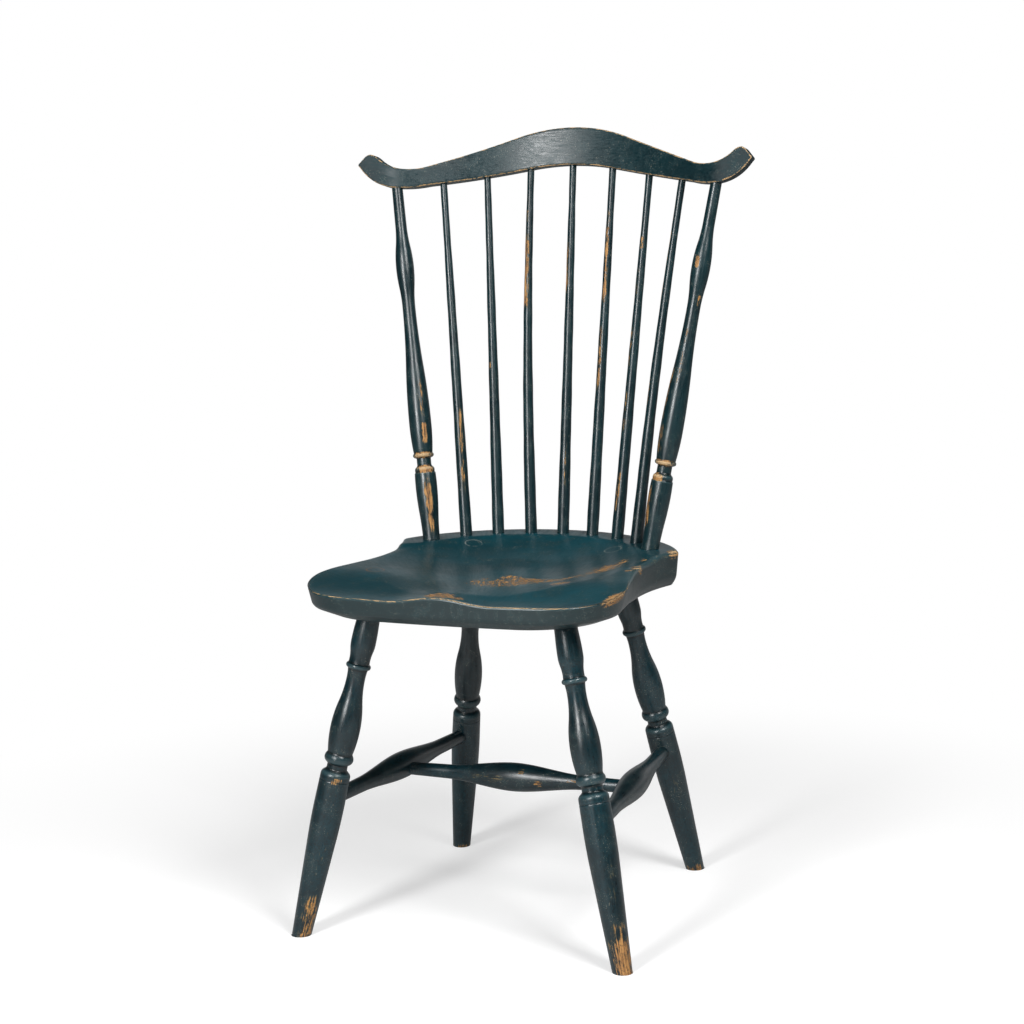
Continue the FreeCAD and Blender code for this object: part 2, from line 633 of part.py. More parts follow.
for face, half in (("front", -size("crest_thickness") / 2), ("back", size("crest_thickness") / 2)):
    for label, (place, angle) in zip(("bow", "ear", "ear_end", "tip"), rail_plan()):
        moved = place + Vector(math.sin(angle), math.cos(angle), 0) * half
        put("crest_%s_%s_across" % (face, label), moved.x, "rail plan, worked out")
        put("crest_%s_%s_along" % (face, label), moved.y, "rail plan, worked out")
put("crest_ear_radius", size("crest_half_width") * EAR_RADIUS_SHARE, "ears in plan, worked out")
sheet.recompute()


def rail_corner(face, label, sign, edge):
    minus = "-" if sign < 0 else ""
    return ("%ssizes.crest_%s_%s_across" % (minus, face, label),
            "sizes.crest_%s_%s_along" % (face, label), edge)


HALF = "sizes.crest_thickness / 2"
band_corners = [
    rail_corner("front", "tip", -1, None),
    rail_corner("front", "ear_end", -1, ("sizes.crest_ear_radius + " + HALF, 1)),
    rail_corner("front", "ear", -1, None),
    rail_corner("front", "bow", -1, ("sizes.crest_bend_radius - " + HALF, -1)),
    rail_corner("front", "bow", 1, None),
    rail_corner("front", "ear", 1, ("sizes.crest_ear_radius + " + HALF, 1)),
    rail_corner("front", "ear_end", 1, None),
    rail_corner("front", "tip", 1, None),
    rail_corner("back", "tip", 1, None),
    rail_corner("back", "ear_end", 1, ("sizes.crest_ear_radius - " + HALF, -1)),
    rail_corner("back", "ear", 1, None),
    rail_corner("back", "bow", 1, ("sizes.crest_bend_radius + " + HALF, 1)),
    rail_corner("back", "bow", -1, None),
    rail_corner("back", "ear", -1, ("sizes.crest_ear_radius - " + HALF, -1)),
    rail_corner("back", "ear_end", -1, None),
    rail_corner("back", "tip", -1, None),
]
band = doc.addObject("PartDesign::Body", "crest_band")
band.Placement = rail_place
band_sketch = closed_sketch(band, "crest_plan", "XY_Plane", band_corners)
sheet.recompute()
band_pad = band.newObject("PartDesign::Pad", "crest_bent_board")
band_pad.Profile = band_sketch
band_pad.setExpression("Length", "(sizes.crest_rise + sizes.overrun) * 2")
band_pad.Midplane = True

# Half of the rail's outline, seen square on: share of its half width, share of its rise, curve.
# The lower edge runs out from the middle and the upper edge in from the peak of the ear.
LOWER_EDGE_SHARES = [(0.0, 0.222, "swell"), (0.190, 0.148, "line"), (0.677, -0.292, "fall"),
                     (0.806, -0.375, "swell"), (0.985, 0.016, "line")]
EAR_END_SHARES = [(1.0, 0.085), (0.962, 0.275)]
UPPER_EDGE_SHARES = [(0.945, 0.315, "swell"), (0.905, 0.252, "fall"), (0.772, 0.028, "swell"),
                     (0.669, 0.118, "line"), (0.285, 0.765, "fall"), (0.0, 1.0, "swell")]


def rail_outline():
    """The rail's outline as sketch corners, anticlockwise, both ends alike."""
    across = "sizes.crest_half_width * %g"
    rise = "sizes.crest_rise * %g"
    lower = [(across % out, "-(%s)" % (rise % up), curve) for out, up, curve in LOWER_EDGE_SHARES]
    upper = [("-" + across % out, rise % up, curve) for out, up, curve in UPPER_EDGE_SHARES]
    lower = backward(lower, lambda here: "-(%s)" % here)[:-1] + lower
    upper = upper[:-1] + backward(upper, lambda here: "-(%s)" % here)
    corners = edge_run(lower, lambda here, out: (here, "-(%s)" % out))
    corners += [(across % out, rise % up, None) for out, up in EAR_END_SHARES]
    corners += edge_run(upper, lambda here, out: ("-(%s)" % here, out))
    corners += [("-" + across % out, rise % up, None) for out, up in reversed(EAR_END_SHARES)]
    return corners


outline = doc.addObject("PartDesign::Body", "crest_outline_board")
outline.Placement = rail_place
outline_sketch = closed_sketch(outline, "crest_outline", "XZ_Plane", rail_outline())
sheet.recompute()
outline_pad = outline.newObject("PartDesign::Pad", "crest_outline_pad")
outline_pad.Profile = outline_sketch
outline_pad.setExpression("Length", "sizes.crest_half_width * 2")
outline_pad.Midplane = True
rail = doc.addObject("Part::Common", "crest_rail_blank")
rail.Base = band
rail.Tool = outline
rail_tools = []


def rail_underside(across):
    """Height of the rail's lower edge in its own frame."""
    share = abs(across) / size("crest_half_width")
    for (here, low, curve), (there, high, unused) in zip(LOWER_EDGE_SHARES, LOWER_EDGE_SHARES[1:]):
        if share <= there:
            return size("crest_rise") * (low + (high - low) * (share - here) / (there - here))
    return size("crest_rise") * LOWER_EDGE_SHARES[-1][1]


def rail_point(across):
    """Where an upright standing that far across enters the underside of the rail."""
    back, angle = rail_middle(across)
    return rail_place.multVec(Vector(across, back, rail_underside(across)))


def rail_across(run):
    """How far across a place lies that is a run along the bow from the middle."""
    radius = size("crest_bend_radius")
    bow = math.radians(size("crest_bend_angle"))
    if abs(run) <= radius * bow:
        return radius * math.sin(run / radius)
    beyond = (abs(run) - radius * bow) * math.cos(bow)
    return math.copysign(radius * math.sin(bow) + beyond, run)


def rail_run(across):
    """How far along the bow a place lies that is a distance across from the middle."""
    radius = size("crest_bend_radius")
    bow = math.radians(size("crest_bend_angle"))
    if across <= radius * math.sin(bow):
        return radius * math.asin(across / radius)
    return radius * bow + (across - radius * math.sin(bow)) / math.cos(bow)


# Posts, with tapered tenons right through the seat, wedged from below and pinned in the crest

POST_TENON = "(sizes.seat_thickness + sizes.overrun)"
POST_TAPER = "(sizes.post_seat_radius - sizes.post_tenon_tip_radius) / sizes.seat_thickness"
POST_END_RADIUS = "(sizes.post_tenon_tip_radius - %s * sizes.overrun)" % POST_TAPER

# Turning of a post above the deck: share of its length, share of its vase radius, curve
POST_TURNING_SHARES = [
    (0.151, 0.972, "swell"), (0.187, 0.940, "line"), (0.189, 0.870, "fall"), (0.196, 0.885, "swell"),
    (0.205, 0.720, "line"), (0.209, 0.640, "line"), (0.229, 0.640, "line"), (0.232, 0.865, "fall"),
    (0.2375, 0.940, "swell"), (0.243, 0.844, "fall"), (0.324, 1.0, "ogee"), (0.661, 0.582, "ogee"),
    (0.772, 0.809, "ogee"), (0.892, 0.515, "line"),
]

POST_TOP_ACROSS = size("crest_half_width") - size("post_top_inset")

for side, sign in (("left", -1), ("right", 1)):
    name = "back_post_" + side
    foot = at(sign * size("post_half_spread"), size("post_reach"), size("seat_height"))
    top = rail_point(sign * POST_TOP_ACROSS)
    place = along(foot, top)
    put(name + "_length", (top - foot).Length, "post from the deck to the crest, worked out")
    sheet.recompute()
    length = "sizes.%s_length" % name
    stations = [("-" + POST_TENON, POST_END_RADIUS, "line"), ("0", "sizes.post_seat_radius", "ogee")]
    stations += [("%s * %g" % (length, up), "sizes.post_vase_radius * %g" % out, curve)
                 for up, out, curve in POST_TURNING_SHARES]
    stations += [(length, "sizes.post_top_radius", "line"),
                 (length + " + sizes.crest_tenon_length", "sizes.post_top_radius", "line")]
    blank = turning(name + "_blank", stations)
    blank.Placement = place
    rail_tools.append(drill(name + "_crest_socket", place, length + " - sizes.overrun",
                            "sizes.crest_tenon_length + sizes.overrun + sizes.end_gap",
                            "sizes.post_top_radius + sizes.glue_gap"))
    run = "(sizes.seat_thickness + 2 * sizes.overrun)"
    seat_tools.append(taper(name + "_socket", place, "-" + POST_TENON, run,
                            POST_END_RADIUS + " + sizes.glue_gap",
                            "sizes.post_seat_radius + %s * sizes.overrun + sizes.glue_gap" % POST_TAPER))
    rise = (top - foot).normalize()
    below = foot - rise * (size("seat_thickness") / rise.z)
    wedge_place = along(below, top)
    kerf = wedge_tool(name + "_kerf", wedge_place, "sizes.glue_gap")
    prism = wedge_tool(name + "_wedge_blank", wedge_place, "0")
    sleeve = taper(name + "_tenon_round", place, "-" + POST_TENON, POST_TENON, POST_END_RADIUS,
                   "sizes.post_seat_radius")
    rounded = doc.addObject("Part::Common", name + "_wedge_round")
    rounded.Base = prism
    rounded.Tool = sleeve
    parts["post_wedge_" + side] = cut("post_wedge_" + side, rounded, [underside_block])
    # The pin enters from the back of the crest, square to it, at half the depth of the tenon
    middle = top + rise * (size("crest_tenon_length") / 2)
    back, angle = rail_middle(sign * POST_TOP_ACROSS)
    square = rail_place.Rotation.multVec(Vector(math.sin(angle), math.cos(angle), 0))
    pin_place = along(middle, middle + square)
    pin_hole = drill("crest_peg_hole_" + side, pin_place, "sizes.peg_front_wall - " + HALF,
                     "sizes.crest_thickness * 2", "sizes.peg_radius + sizes.glue_gap")
    pin = drill("crest_peg_stock_" + side, pin_place, "sizes.peg_front_wall - " + HALF + " + sizes.glue_gap",
                "sizes.crest_thickness * 2", "sizes.peg_radius")
    rail_tools.append(pin_hole)
    flush = doc.addObject("Part::Common", "crest_peg_" + side)
    flush.Base = pin
    flush.Tool = rail
    parts["crest_peg_" + side] = flush
    parts[name] = cut(name, blank, [underside_block, kerf, pin_hole])

# Spindles, fanned from an arc on the deck to even places along the crest

SPINDLES_EACH_SIDE = 3

# Shaved taper of a spindle above the deck, as shares of its length
SPINDLE_TAPER_SHARES = (0.10, 0.87)

# The spindles share the bow evenly between the outermost ones
SPINDLE_TOP_RUN = (rail_run(POST_TOP_ACROSS) - size("spindle_post_run")) / SPINDLES_EACH_SIDE

for number in range(1, 2 * SPINDLES_EACH_SIDE + 2):
    step = number - 1 - SPINDLES_EACH_SIDE
    name = "spindle_%d" % number
    angle = math.radians(size("spindle_step_angle")) * step
    centre_reach = size("spindle_back_reach") - size("spindle_arc_radius")
    foot = at(size("spindle_arc_radius") * math.sin(angle),
              centre_reach + size("spindle_arc_radius") * math.cos(angle), size("seat_height"))
    top = rail_point(rail_across(step * SPINDLE_TOP_RUN))
    put(name + "_length", (top - foot).Length, "spindle from the deck to the crest, worked out")
    sheet.recompute()
    length = "sizes.%s_length" % name
    low, high = ("%s * %g" % (length, share) for share in SPINDLE_TAPER_SHARES)
    blank = turning(name, [("-sizes.spindle_tenon_length", "sizes.spindle_seat_radius", "line"),
                           (low, "sizes.spindle_seat_radius", "line"),
                           (high, "sizes.spindle_top_radius", "line"),
                           (length + " + sizes.crest_tenon_length", "sizes.spindle_top_radius", "line")])
    place = along(foot, top)
    blank.Placement = place
    parts[name] = blank
    seat_tools.append(drill(name + "_socket", place, "-sizes.spindle_tenon_length - sizes.end_gap",
                            "sizes.spindle_tenon_length + sizes.overrun",
                            "sizes.spindle_seat_radius + sizes.glue_gap"))
    rail_tools.append(drill(name + "_crest_socket", place, length + " - sizes.overrun",
                            "sizes.crest_tenon_length + sizes.overrun + sizes.end_gap",
                            "sizes.spindle_top_radius + sizes.glue_gap"))

parts["crest_rail"] = cut("crest_rail", rail, rail_tools)
parts["seat"] = cut("seat", plank, seat_tools)

doc.recompute()
for item in doc.Objects:
    if "Invalid" in item.State or "Error" in item.State:
        raise RuntimeError("%s did not build: %s" % (item.Name, item.State))
for node, item in parts.items():
    item.Label = node
    shape = item.Shape
    if shape.isNull() or not shape.isValid() or len(shape.Solids) != 1:
        raise RuntimeError("%s is not one sound solid" % node)
for node, item in sorted(parts.items()):
    item.Shape.exportStep("parts/%s.step" % node)
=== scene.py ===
# Looks of the fan-back windsor side chair, in metres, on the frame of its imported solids.
# +Z is up, the seat's front is towards -Y and the viewer's right is +X.
import itertools
import math

import bpy
import numpy as np
from mathutils import Matrix, Vector


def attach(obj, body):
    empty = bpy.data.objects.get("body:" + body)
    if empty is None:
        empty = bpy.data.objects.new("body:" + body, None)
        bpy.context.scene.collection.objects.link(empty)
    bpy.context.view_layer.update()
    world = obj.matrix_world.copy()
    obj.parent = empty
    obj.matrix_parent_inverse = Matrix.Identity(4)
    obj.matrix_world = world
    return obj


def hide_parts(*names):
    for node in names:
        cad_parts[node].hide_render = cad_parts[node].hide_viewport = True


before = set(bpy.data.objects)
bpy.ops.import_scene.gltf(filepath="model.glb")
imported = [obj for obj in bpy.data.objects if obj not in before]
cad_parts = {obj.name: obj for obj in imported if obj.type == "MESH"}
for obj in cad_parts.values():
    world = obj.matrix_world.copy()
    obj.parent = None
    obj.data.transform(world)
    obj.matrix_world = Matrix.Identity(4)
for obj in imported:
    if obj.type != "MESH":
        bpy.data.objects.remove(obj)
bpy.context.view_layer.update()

# Places are given from a line across the seat, and this is where that line lies in the frame
LINE_SHIFT = -0.008232

SEAT_HEIGHT = 0.435
SEAT_THICKNESS = 0.043
EDGE_HEIGHT = 0.034
UNDERSIDE = SEAT_HEIGHT - SEAT_THICKNESS
SIDES = (("left", -1), ("right", 1))


# Shapes as whole arrays

def smooth(share):
    """0 up to 0, 1 from 1, and an even S between: 3 s squared less 2 s cubed."""
    share = np.clip(share, 0, 1)
    return share * share * (3 - 2 * share)


def bump(distance):
    """1 in the middle, falling evenly to 0 at distance 1."""
    return smooth(1 - np.abs(distance))


def unit(vectors):
    """Vectors of length 1 along the last axis."""
    vectors = np.asarray(vectors, float)
    return vectors / np.linalg.norm(vectors, axis=-1, keepdims=True)


def skin(name, points, quads, triangles, material, facts):
    """A smooth mesh from places and faces, turned outward, with its facts and its material.

    facts holds a value for each place by name, and "wood" holds the piece's own coordinates,
    with the grain along the third. Places that no face uses are left out. A volume below zero,
    the sum over the quads of a corner on the cross product of two sides, means inside out.
    """
    corner = points[quads]
    volume = np.einsum("ij,ij->", corner[:, 0] + corner[:, 2],
                       np.cross(corner[:, 1] - corner[:, 0], corner[:, 3] - corner[:, 0]))
    if volume < 0:
        quads, triangles = quads[:, ::-1], triangles[:, ::-1]
    used = np.unique(np.concatenate([quads.ravel(), triangles.ravel()]))
    number = np.zeros(len(points), int)
    number[used] = np.arange(len(used))
    mesh = bpy.data.meshes.new(name)
    mesh.from_pydata(points[used], [], number[quads].tolist() + number[triangles].tolist())
    mesh.polygons.foreach_set("use_smooth", np.ones(len(mesh.polygons), bool))
    for fact, values in facts.items():
        values = np.asarray(values, np.float32)[used]
        kind, field = ("FLOAT_VECTOR", "vector") if values.ndim == 2 else ("FLOAT", "value")
        mesh.attributes.new(fact, kind, "POINT").data.foreach_set(field, values.ravel())
    mesh.materials.append(material)
    piece = bpy.data.objects.new(name, mesh)
    bpy.context.scene.collection.objects.link(piece)
    return piece


def quads_between(first, second):
    """Faces between two rings of numbers, or rows of rings."""
    return np.stack([first, second, np.roll(second, -1, -1), np.roll(first, -1, -1)],
                    axis=-1).reshape(-1, 4)


def shell(name, rows, material, facts):
    """A closed skin over rows of places, each row a ring, with a point at either end."""
    count, around = rows.shape[:2]
    ring = np.arange(count * around).reshape(count, around)
    fans = [np.stack([np.full(around, count * around), ring[0], np.roll(ring[0], -1)], axis=-1),
            np.stack([np.full(around, count * around + 1), np.roll(ring[-1], -1), ring[-1]], axis=-1)]

    def with_ends(values):
        """The values in one list, then the mean of the first ring's and of the last ring's."""
        values = np.asarray(values, float)
        flat = values.reshape((count * around,) + values.shape[2:])
        return np.concatenate([flat, values[:1].mean(1), values[-1:].mean(1)])

    return skin(name, with_ends(rows), quads_between(ring[:-1], ring[1:]), np.concatenate(fans), material,
                {fact: with_ends(values) for fact, values in facts.items()})


def stand_for(piece, slot, *nodes):
    """The piece rides on the chair and stands for the nodes. The slot is not used."""
    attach(piece, "root")
    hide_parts(*nodes)


# Materials: each one is nodes over a piece's own coordinates ("wood"), where it is rubbed through
# ("worn"), how sharp or hollow it is ("edge"), and for some where it is dull or on the plank's side
# and underside, which are given painted shade ("side")

class Nodes:
    """Adds nodes to the tree of a material or a world and joins them."""

    def __init__(self, owner):
        """Starts with the nodes that a new material or world has."""
        owner.use_nodes = True
        self.owner = owner
        self.tree = owner.node_tree

    def add(self, kind, out=0, settings=(), **inputs):
        """A node with its settings and inputs, a value or another node's output, and its output."""
        node = self.tree.nodes.new("ShaderNode" + kind)
        for key, value in dict(settings).items():
            setattr(node, key, value)
        for key, value in inputs.items():
            socket = node.inputs[int(key[1:])] if key[1:].isdigit() else node.inputs[key]
            self.give(socket, value)
        return node.outputs[out]

    def give(self, socket, value):
        """Joins an output to a socket, or sets the socket's own value."""
        if isinstance(value, bpy.types.NodeSocket):
            self.tree.links.new(value, socket)
        else:
            socket.default_value = value

    def finish(self, **inputs):
        """Gives the tree's own surface shader its inputs, with _ for a space, and gives its output."""
        surface = self.tree.nodes["Principled BSDF"]
        for key, value in inputs.items():
            self.give(surface.inputs[key.replace("_", " ")], value)
        return surface.outputs[0]

    def math(self, kind, first, second=0.0, third=0.0):
        """A sum of up to three numbers, by the name of its kind."""
        return self.add("Math", settings={"operation": kind}, _0=first, _1=second, _2=third)

    def plus(self, first, second):
        """first + second."""
        return self.math("ADD", first, second)

    def less(self, first, second):
        """first - second."""
        return self.math("SUBTRACT", first, second)

    def times(self, first, second):
        """first x second."""
        return self.math("MULTIPLY", first, second)

    def swing(self, noise, share):
        """A noise taken from its middle value, times a share."""
        return self.times(self.less(noise, 0.5), share)

    def vector(self, kind, first, second=(0.0, 0.0, 0.0), out=0):
        """A sum of one or two places, by the name of its kind."""
        return self.add("VectorMath", out=out, settings={"operation": kind}, _0=first, _1=second)

    def ramp(self, value, low, high):
        """0 below low, 1 above high and an even S between."""
        return self.add("MapRange", settings={"interpolation_type": "SMOOTHSTEP"},
                        Value=value, _1=low, _2=high, _3=0.0, _4=1.0)

    def mix(self, share, first, second):
        """A colour between two, by share."""
        return self.add("Mix", out=2, settings={"data_type": "RGBA"}, _0=share, _6=first, _7=second)

    def fact(self, name):
        """One of the facts that a mesh carries, as a number."""
        return self.add("Attribute", out=2, settings={"attribute_name": name})

    def wood_place(self):
        """The piece's own coordinates, with the grain along the third."""
        return self.add("Attribute", out=1, settings={"attribute_name": "wood"})

    def noise(self, place, scale, detail=4.0, rough=0.55):
        """Cloudy noise from 0 to 1, mostly near 0.5, with scale spots to a metre."""
        return self.add("TexNoise", Vector=place, Scale=scale, Detail=detail, Roughness=rough)

    def stretched(self, place, stretch):
        """A place with its three coordinates scaled."""
        return self.add("Mapping", Vector=place, Scale=stretch)


def colour(red, green, blue):
    """A colour as it looks, 0 to 255, for a shader."""
    shares = [value / 255 for value in (red, green, blue)]
    return [s / 12.92 if s <= 0.04045 else ((s + 0.055) / 1.055) ** 2.4 for s in shares] + [1.0]


TEAL = colour(5, 38, 43)
TEAL_DEEP = colour(4, 29, 34)
TEAL_GREY = colour(22, 50, 54)
SEAT_TEAL = colour(2, 62, 72)
SEAT_DEEP = colour(3, 50, 58)
# Painted shade: a darker, greyer teal for the seat's side and underside
SIDE_SHADE_TEAL = colour(9, 33, 36)
TURNED_TEAL = colour(4, 42, 50)
TURNED_DEEP = colour(3, 27, 33)
TURNED_GREY = colour(24, 48, 52)
# Paler grey for sharp edges, rims and rings: partly rubbed paint, partly a painted highlight
RUBBED_AND_HIGHLIGHT_GREY = colour(54, 78, 83)
# Near black, for the dark spots and for darkening in the hollows of the turnings
NEAR_BLACK_TEAL = colour(5, 13, 15)
SPECK = colour(196, 190, 172)
UNDERCOAT = colour(52, 40, 28)
RUBBED_THIN = colour(112, 100, 66)
RUBBED_EDGE = colour(184, 158, 120)
TAN = colour(180, 132, 74)
TAN_DEEP = colour(112, 74, 38)
WHITE = (1.0, 1.0, 1.0, 1.0)

# Where the legs' tenons come up through the seat: across, along, how plain the ring is, its tint
TENON_MARK_RADIUS = 0.0106
TENON_MARKS = [(-0.1336, -0.108, 0.8, colour(120, 84, 56)), (0.1080, -0.121, 0.6, colour(150, 104, 76)),
               (-0.0936, 0.0964, 0.8, colour(112, 120, 116)), (0.0936, 0.0964, 0.8, colour(112, 120, 116))]


def ringed(nodes, shown, mark, ragged, pitted):
    """The colour shown, with the ring of a tenon over it.

    The ring is as plain as its mark says where the distance from the mark, with a little noise,
    is its radius. It falls to nothing within a millimetre, and ragged noise breaks it up.
    """
    across, along_seat, strength, tint = mark
    centre = (across, along_seat + LINE_SHIFT, 0.0)
    apart = nodes.vector("SUBTRACT", nodes.add("TexCoord", out=3), centre)
    reach = nodes.vector("LENGTH", nodes.vector("MULTIPLY", apart, (1.0, 1.0, 0.0)), out=1)
    reach = nodes.plus(reach, nodes.swing(pitted, 0.002))
    off = nodes.math("ABSOLUTE", nodes.less(reach, TENON_MARK_RADIUS))
    line = nodes.less(1.0, nodes.ramp(off, 0.0003, 0.0011))
    line = nodes.times(line, nodes.ramp(ragged, 0.40, 0.50))
    return nodes.mix(nodes.times(line, strength), shown, tint)


def aged_paint(name, body, deep, grey, gloss, brushed, mottled, scuffed, tenon_marks=()):
    """Old brushed paint, rubbed through to tan wood.

    The paint changes from body to deep in broad clouds and fine brush streaks along the grain,
    greys where it is chalky and has small pale specks. brushed says how plain the brush streaks
    are in its gloss and relief, mottled how plain its dark spots are and scuffed how ragged its
    worn places are. The dull fact makes it matte. Where the worn fact plus ragged noise is
    high, the wood shows with its fibres, inside a thin dark line of undercoat.
    """
    nodes = Nodes(bpy.data.materials.new(name))
    place = nodes.wood_place()
    streak = nodes.noise(nodes.stretched(place, (1.0, 1.0, 0.05)), 640.0, 5.0, 0.6)
    cloud = nodes.noise(place, 9.0, 5.0, 0.6)
    blotch = nodes.noise(place, 60.0, 6.0, 0.65)
    ragged = nodes.noise(nodes.stretched(place, (1.0, 1.0, 0.35)), 330.0, 8.0, 0.72)
    fine = nodes.noise(place, 1100.0, 3.0, 0.6)
    pitted = nodes.noise(place, 420.0, 6.0, 0.7)
    worn, edge = nodes.fact("worn"), nodes.fact("edge")
    sharp = nodes.math("MAXIMUM", edge, 0.0)
    hollow = nodes.times(nodes.math("MINIMUM", edge, 0.0), -0.7)

    # How far rubbed: the fact, a share for a sharp edge, and ragged noise that grows with the fact
    uneven = nodes.plus(nodes.plus(nodes.swing(ragged, 1.5), nodes.swing(streak, 1.3)),
                        nodes.swing(blotch, 0.8))
    for noise, share in ((streak, 1.0), (ragged, 0.7)):
        uneven = nodes.plus(uneven, nodes.swing(nodes.ramp(noise, 0.42, 0.58), share * scuffed))
    touched = nodes.math("MULTIPLY_ADD", nodes.ramp(worn, 0.0, 0.35), 0.65, 0.35)
    rubbed = nodes.plus(nodes.plus(nodes.times(uneven, touched), worn), nodes.times(sharp, 0.16))
    bare = nodes.ramp(rubbed, 0.50, 0.62)
    thin = nodes.ramp(rubbed, 0.28, 0.52)

    paint = nodes.mix(nodes.ramp(cloud, 0.38, 0.60), deep, body)
    paint = nodes.mix(nodes.times(nodes.ramp(pitted, 0.46, 0.60), mottled), paint, NEAR_BLACK_TEAL)
    # Painted shade: the plank's side and underside turn to a darker, greyer teal
    paint = nodes.mix(nodes.fact("side"), paint, SIDE_SHADE_TEAL)
    paint = nodes.mix(nodes.times(nodes.ramp(blotch, 0.49, 0.64), 0.40), paint, grey)
    paint = nodes.mix(nodes.times(nodes.ramp(streak, 0.48, 0.64), 0.5 * brushed), paint, grey)
    # Sharp edges, rims and rings are painted paler grey: partly rubbed paint, partly a painted highlight
    paint = nodes.mix(nodes.times(sharp, 0.6), paint, RUBBED_AND_HIGHLIGHT_GREY)
    # The hollows of the turnings are darkened towards near black
    paint = nodes.mix(hollow, paint, NEAR_BLACK_TEAL)
    speck = nodes.times(nodes.ramp(fine, 0.64, 0.69), nodes.ramp(blotch, 0.49, 0.56))
    paint = nodes.mix(nodes.times(speck, 0.7), paint, SPECK)
    paint = nodes.mix(nodes.times(thin, 0.7), paint,
                      nodes.mix(nodes.ramp(streak, 0.40, 0.62), UNDERCOAT, RUBBED_THIN))

    wood = nodes.mix(nodes.ramp(streak, 0.34, 0.66), TAN_DEEP, TAN)
    wood = nodes.mix(nodes.times(nodes.ramp(pitted, 0.48, 0.62), 0.2 + 0.6 * mottled), wood, UNDERCOAT)
    wood = nodes.mix(nodes.times(sharp, 0.75), wood, RUBBED_EDGE)
    shown = nodes.mix(bare, paint, wood)
    for mark in tenon_marks:
        shown = ringed(nodes, shown, mark, ragged, pitted)

    sheen = nodes.math("MULTIPLY_ADD", nodes.less(blotch, 0.5), 0.2, gloss)
    sheen = nodes.plus(sheen, nodes.swing(streak, 0.6 * brushed))
    sheen = nodes.plus(sheen, nodes.times(nodes.fact("dull"), 0.35))
    rough = nodes.add("Mix", settings={"data_type": "FLOAT"}, _0=bare, _2=sheen, _3=0.68)

    # Brush marks and grain, pits, then the step down from the paint to the wood
    relief = nodes.add("Bump", Strength=0.3 * brushed, Distance=0.0003, Height=streak)
    relief = nodes.add("Bump", Strength=0.2, Distance=0.0002, Height=pitted, Normal=relief)
    relief = nodes.add("Bump", Strength=0.15, Distance=0.0005, Height=blotch, Normal=relief)
    relief = nodes.add("Bump", settings={"invert": True}, Strength=0.8, Distance=0.0004, Height=bare,
                       Normal=relief)
    nodes.finish(Base_Color=shown, Roughness=rough, Specular_IOR_Level=0.58, Normal=relief)
    return nodes.owner


def bare_wood():
    """Tan end grain of pins and wedges: fine pores over slow colour changes."""
    nodes = Nodes(bpy.data.materials.new("bare_wood"))
    place = nodes.wood_place()
    pores = nodes.noise(place, 1600.0, 4.0, 0.6)
    slow = nodes.noise(place, 160.0, 3.0, 0.5)
    shown = nodes.mix(nodes.ramp(pores, 0.35, 0.7), TAN_DEEP, TAN)
    shown = nodes.mix(nodes.times(slow, 0.5), shown, UNDERCOAT)
    nodes.finish(Base_Color=shown, Roughness=0.7,
                 Normal=nodes.add("Bump", Strength=0.4, Distance=0.0003, Height=pores))
    return nodes.owner


PAINT = aged_paint("aged_paint", TEAL, TEAL_DEEP, TEAL_GREY,
                   gloss=0.38, brushed=0.9, mottled=0.15, scuffed=0.15)
BACK_PAINT = aged_paint("aged_paint_back", TEAL, TEAL_DEEP, TEAL_GREY,
                        gloss=0.33, brushed=0.6, mottled=0.3, scuffed=0.15)
SEAT_PAINT = aged_paint("aged_paint_seat", SEAT_TEAL, SEAT_DEEP, TEAL_GREY,
                        gloss=0.35, brushed=0.4, mottled=0.15, scuffed=0.6, tenon_marks=TENON_MARKS)
TURNED_PAINT = aged_paint("aged_paint_turned", TURNED_TEAL, TURNED_DEEP, TURNED_GREY,
                          gloss=0.33, brushed=0.5, mottled=0.7, scuffed=0.25)
WOOD = bare_wood()


# Turned and shaved pieces

OUTLINE_STEP = 0.0008
# An edge is sharp or hollow where the outline bends, seen over a few even steps along the piece
EDGE_STEP = 0.0005
EDGE_SPAN = 4
SHARP_BEND = 0.0011
# How far the paint's noise shifts from one round piece to the next, so that no two are alike
NOISE_SHIFT = np.array([0.37, 0.21, 0.53])
piece_order = itertools.count(1)


def swell(share, run, climb):
    """Share of the climb at a share of the run, on a circle that leaves along the axis.

    The circle's radius is (run squared + climb squared) / (2 climb). At a distance d it has
    climbed the radius less the root of (radius squared less d squared).
    """
    radius = (run ** 2 + climb ** 2) / (2 * climb)
    return (radius - np.sqrt(np.maximum(radius ** 2 - (share * run) ** 2, 0))) / climb


def turned_outline(stations):
    """Distances along a turned piece and its radii there.

    A line is straight. A swell leaves its station along the axis on a circle, a fall arrives so
    at the next one, and an ogee is a swell and a fall, half each.
    """
    along, radii = [], []
    for (here, out, curve), following in zip(stations, stations[1:]):
        run, rise = following[0] - here, following[1] - out
        count = max(2, int(math.ceil(run / OUTLINE_STEP)))
        share = np.arange(count) / count
        shape = share
        if curve == "swell":
            shape = swell(share, run, abs(rise))
        elif curve == "fall":
            shape = 1 - swell(1 - share, run, abs(rise))
        elif curve == "ogee":
            half = swell(2 * np.minimum(share, 1 - share), run / 2, abs(rise) / 2) / 2
            shape = np.where(share > 0.5, 1 - half, half)
        along.append(here + share * run)
        radii.append(out + shape * rise)
    along.append([stations[-1][0]])
    radii.append([stations[-1][1]])
    return np.concatenate(along), np.concatenate(radii)


def worn_map(patches, share, facing):
    """How worn a round piece is: the most of some patches.

    A patch is from and to along the piece as shares, the way it faces in degrees from the front
    towards the right, how wide it is in degrees and how worn. It is full over the middle half of
    its length, and falls to 0 at its ends and sides.
    """
    worn = np.zeros(np.broadcast(share, facing).shape)
    for low, high, way, width, amount in patches:
        quarter = (high - low) / 4
        lengthwise = bump(np.maximum(np.abs(share - (low + high) / 2) - quarter, 0) / quarter)
        turn = (np.degrees(facing) - way + 180) % 360 - 180
        worn = np.maximum(worn, amount * lengthwise * bump(turn / width))
    return worn


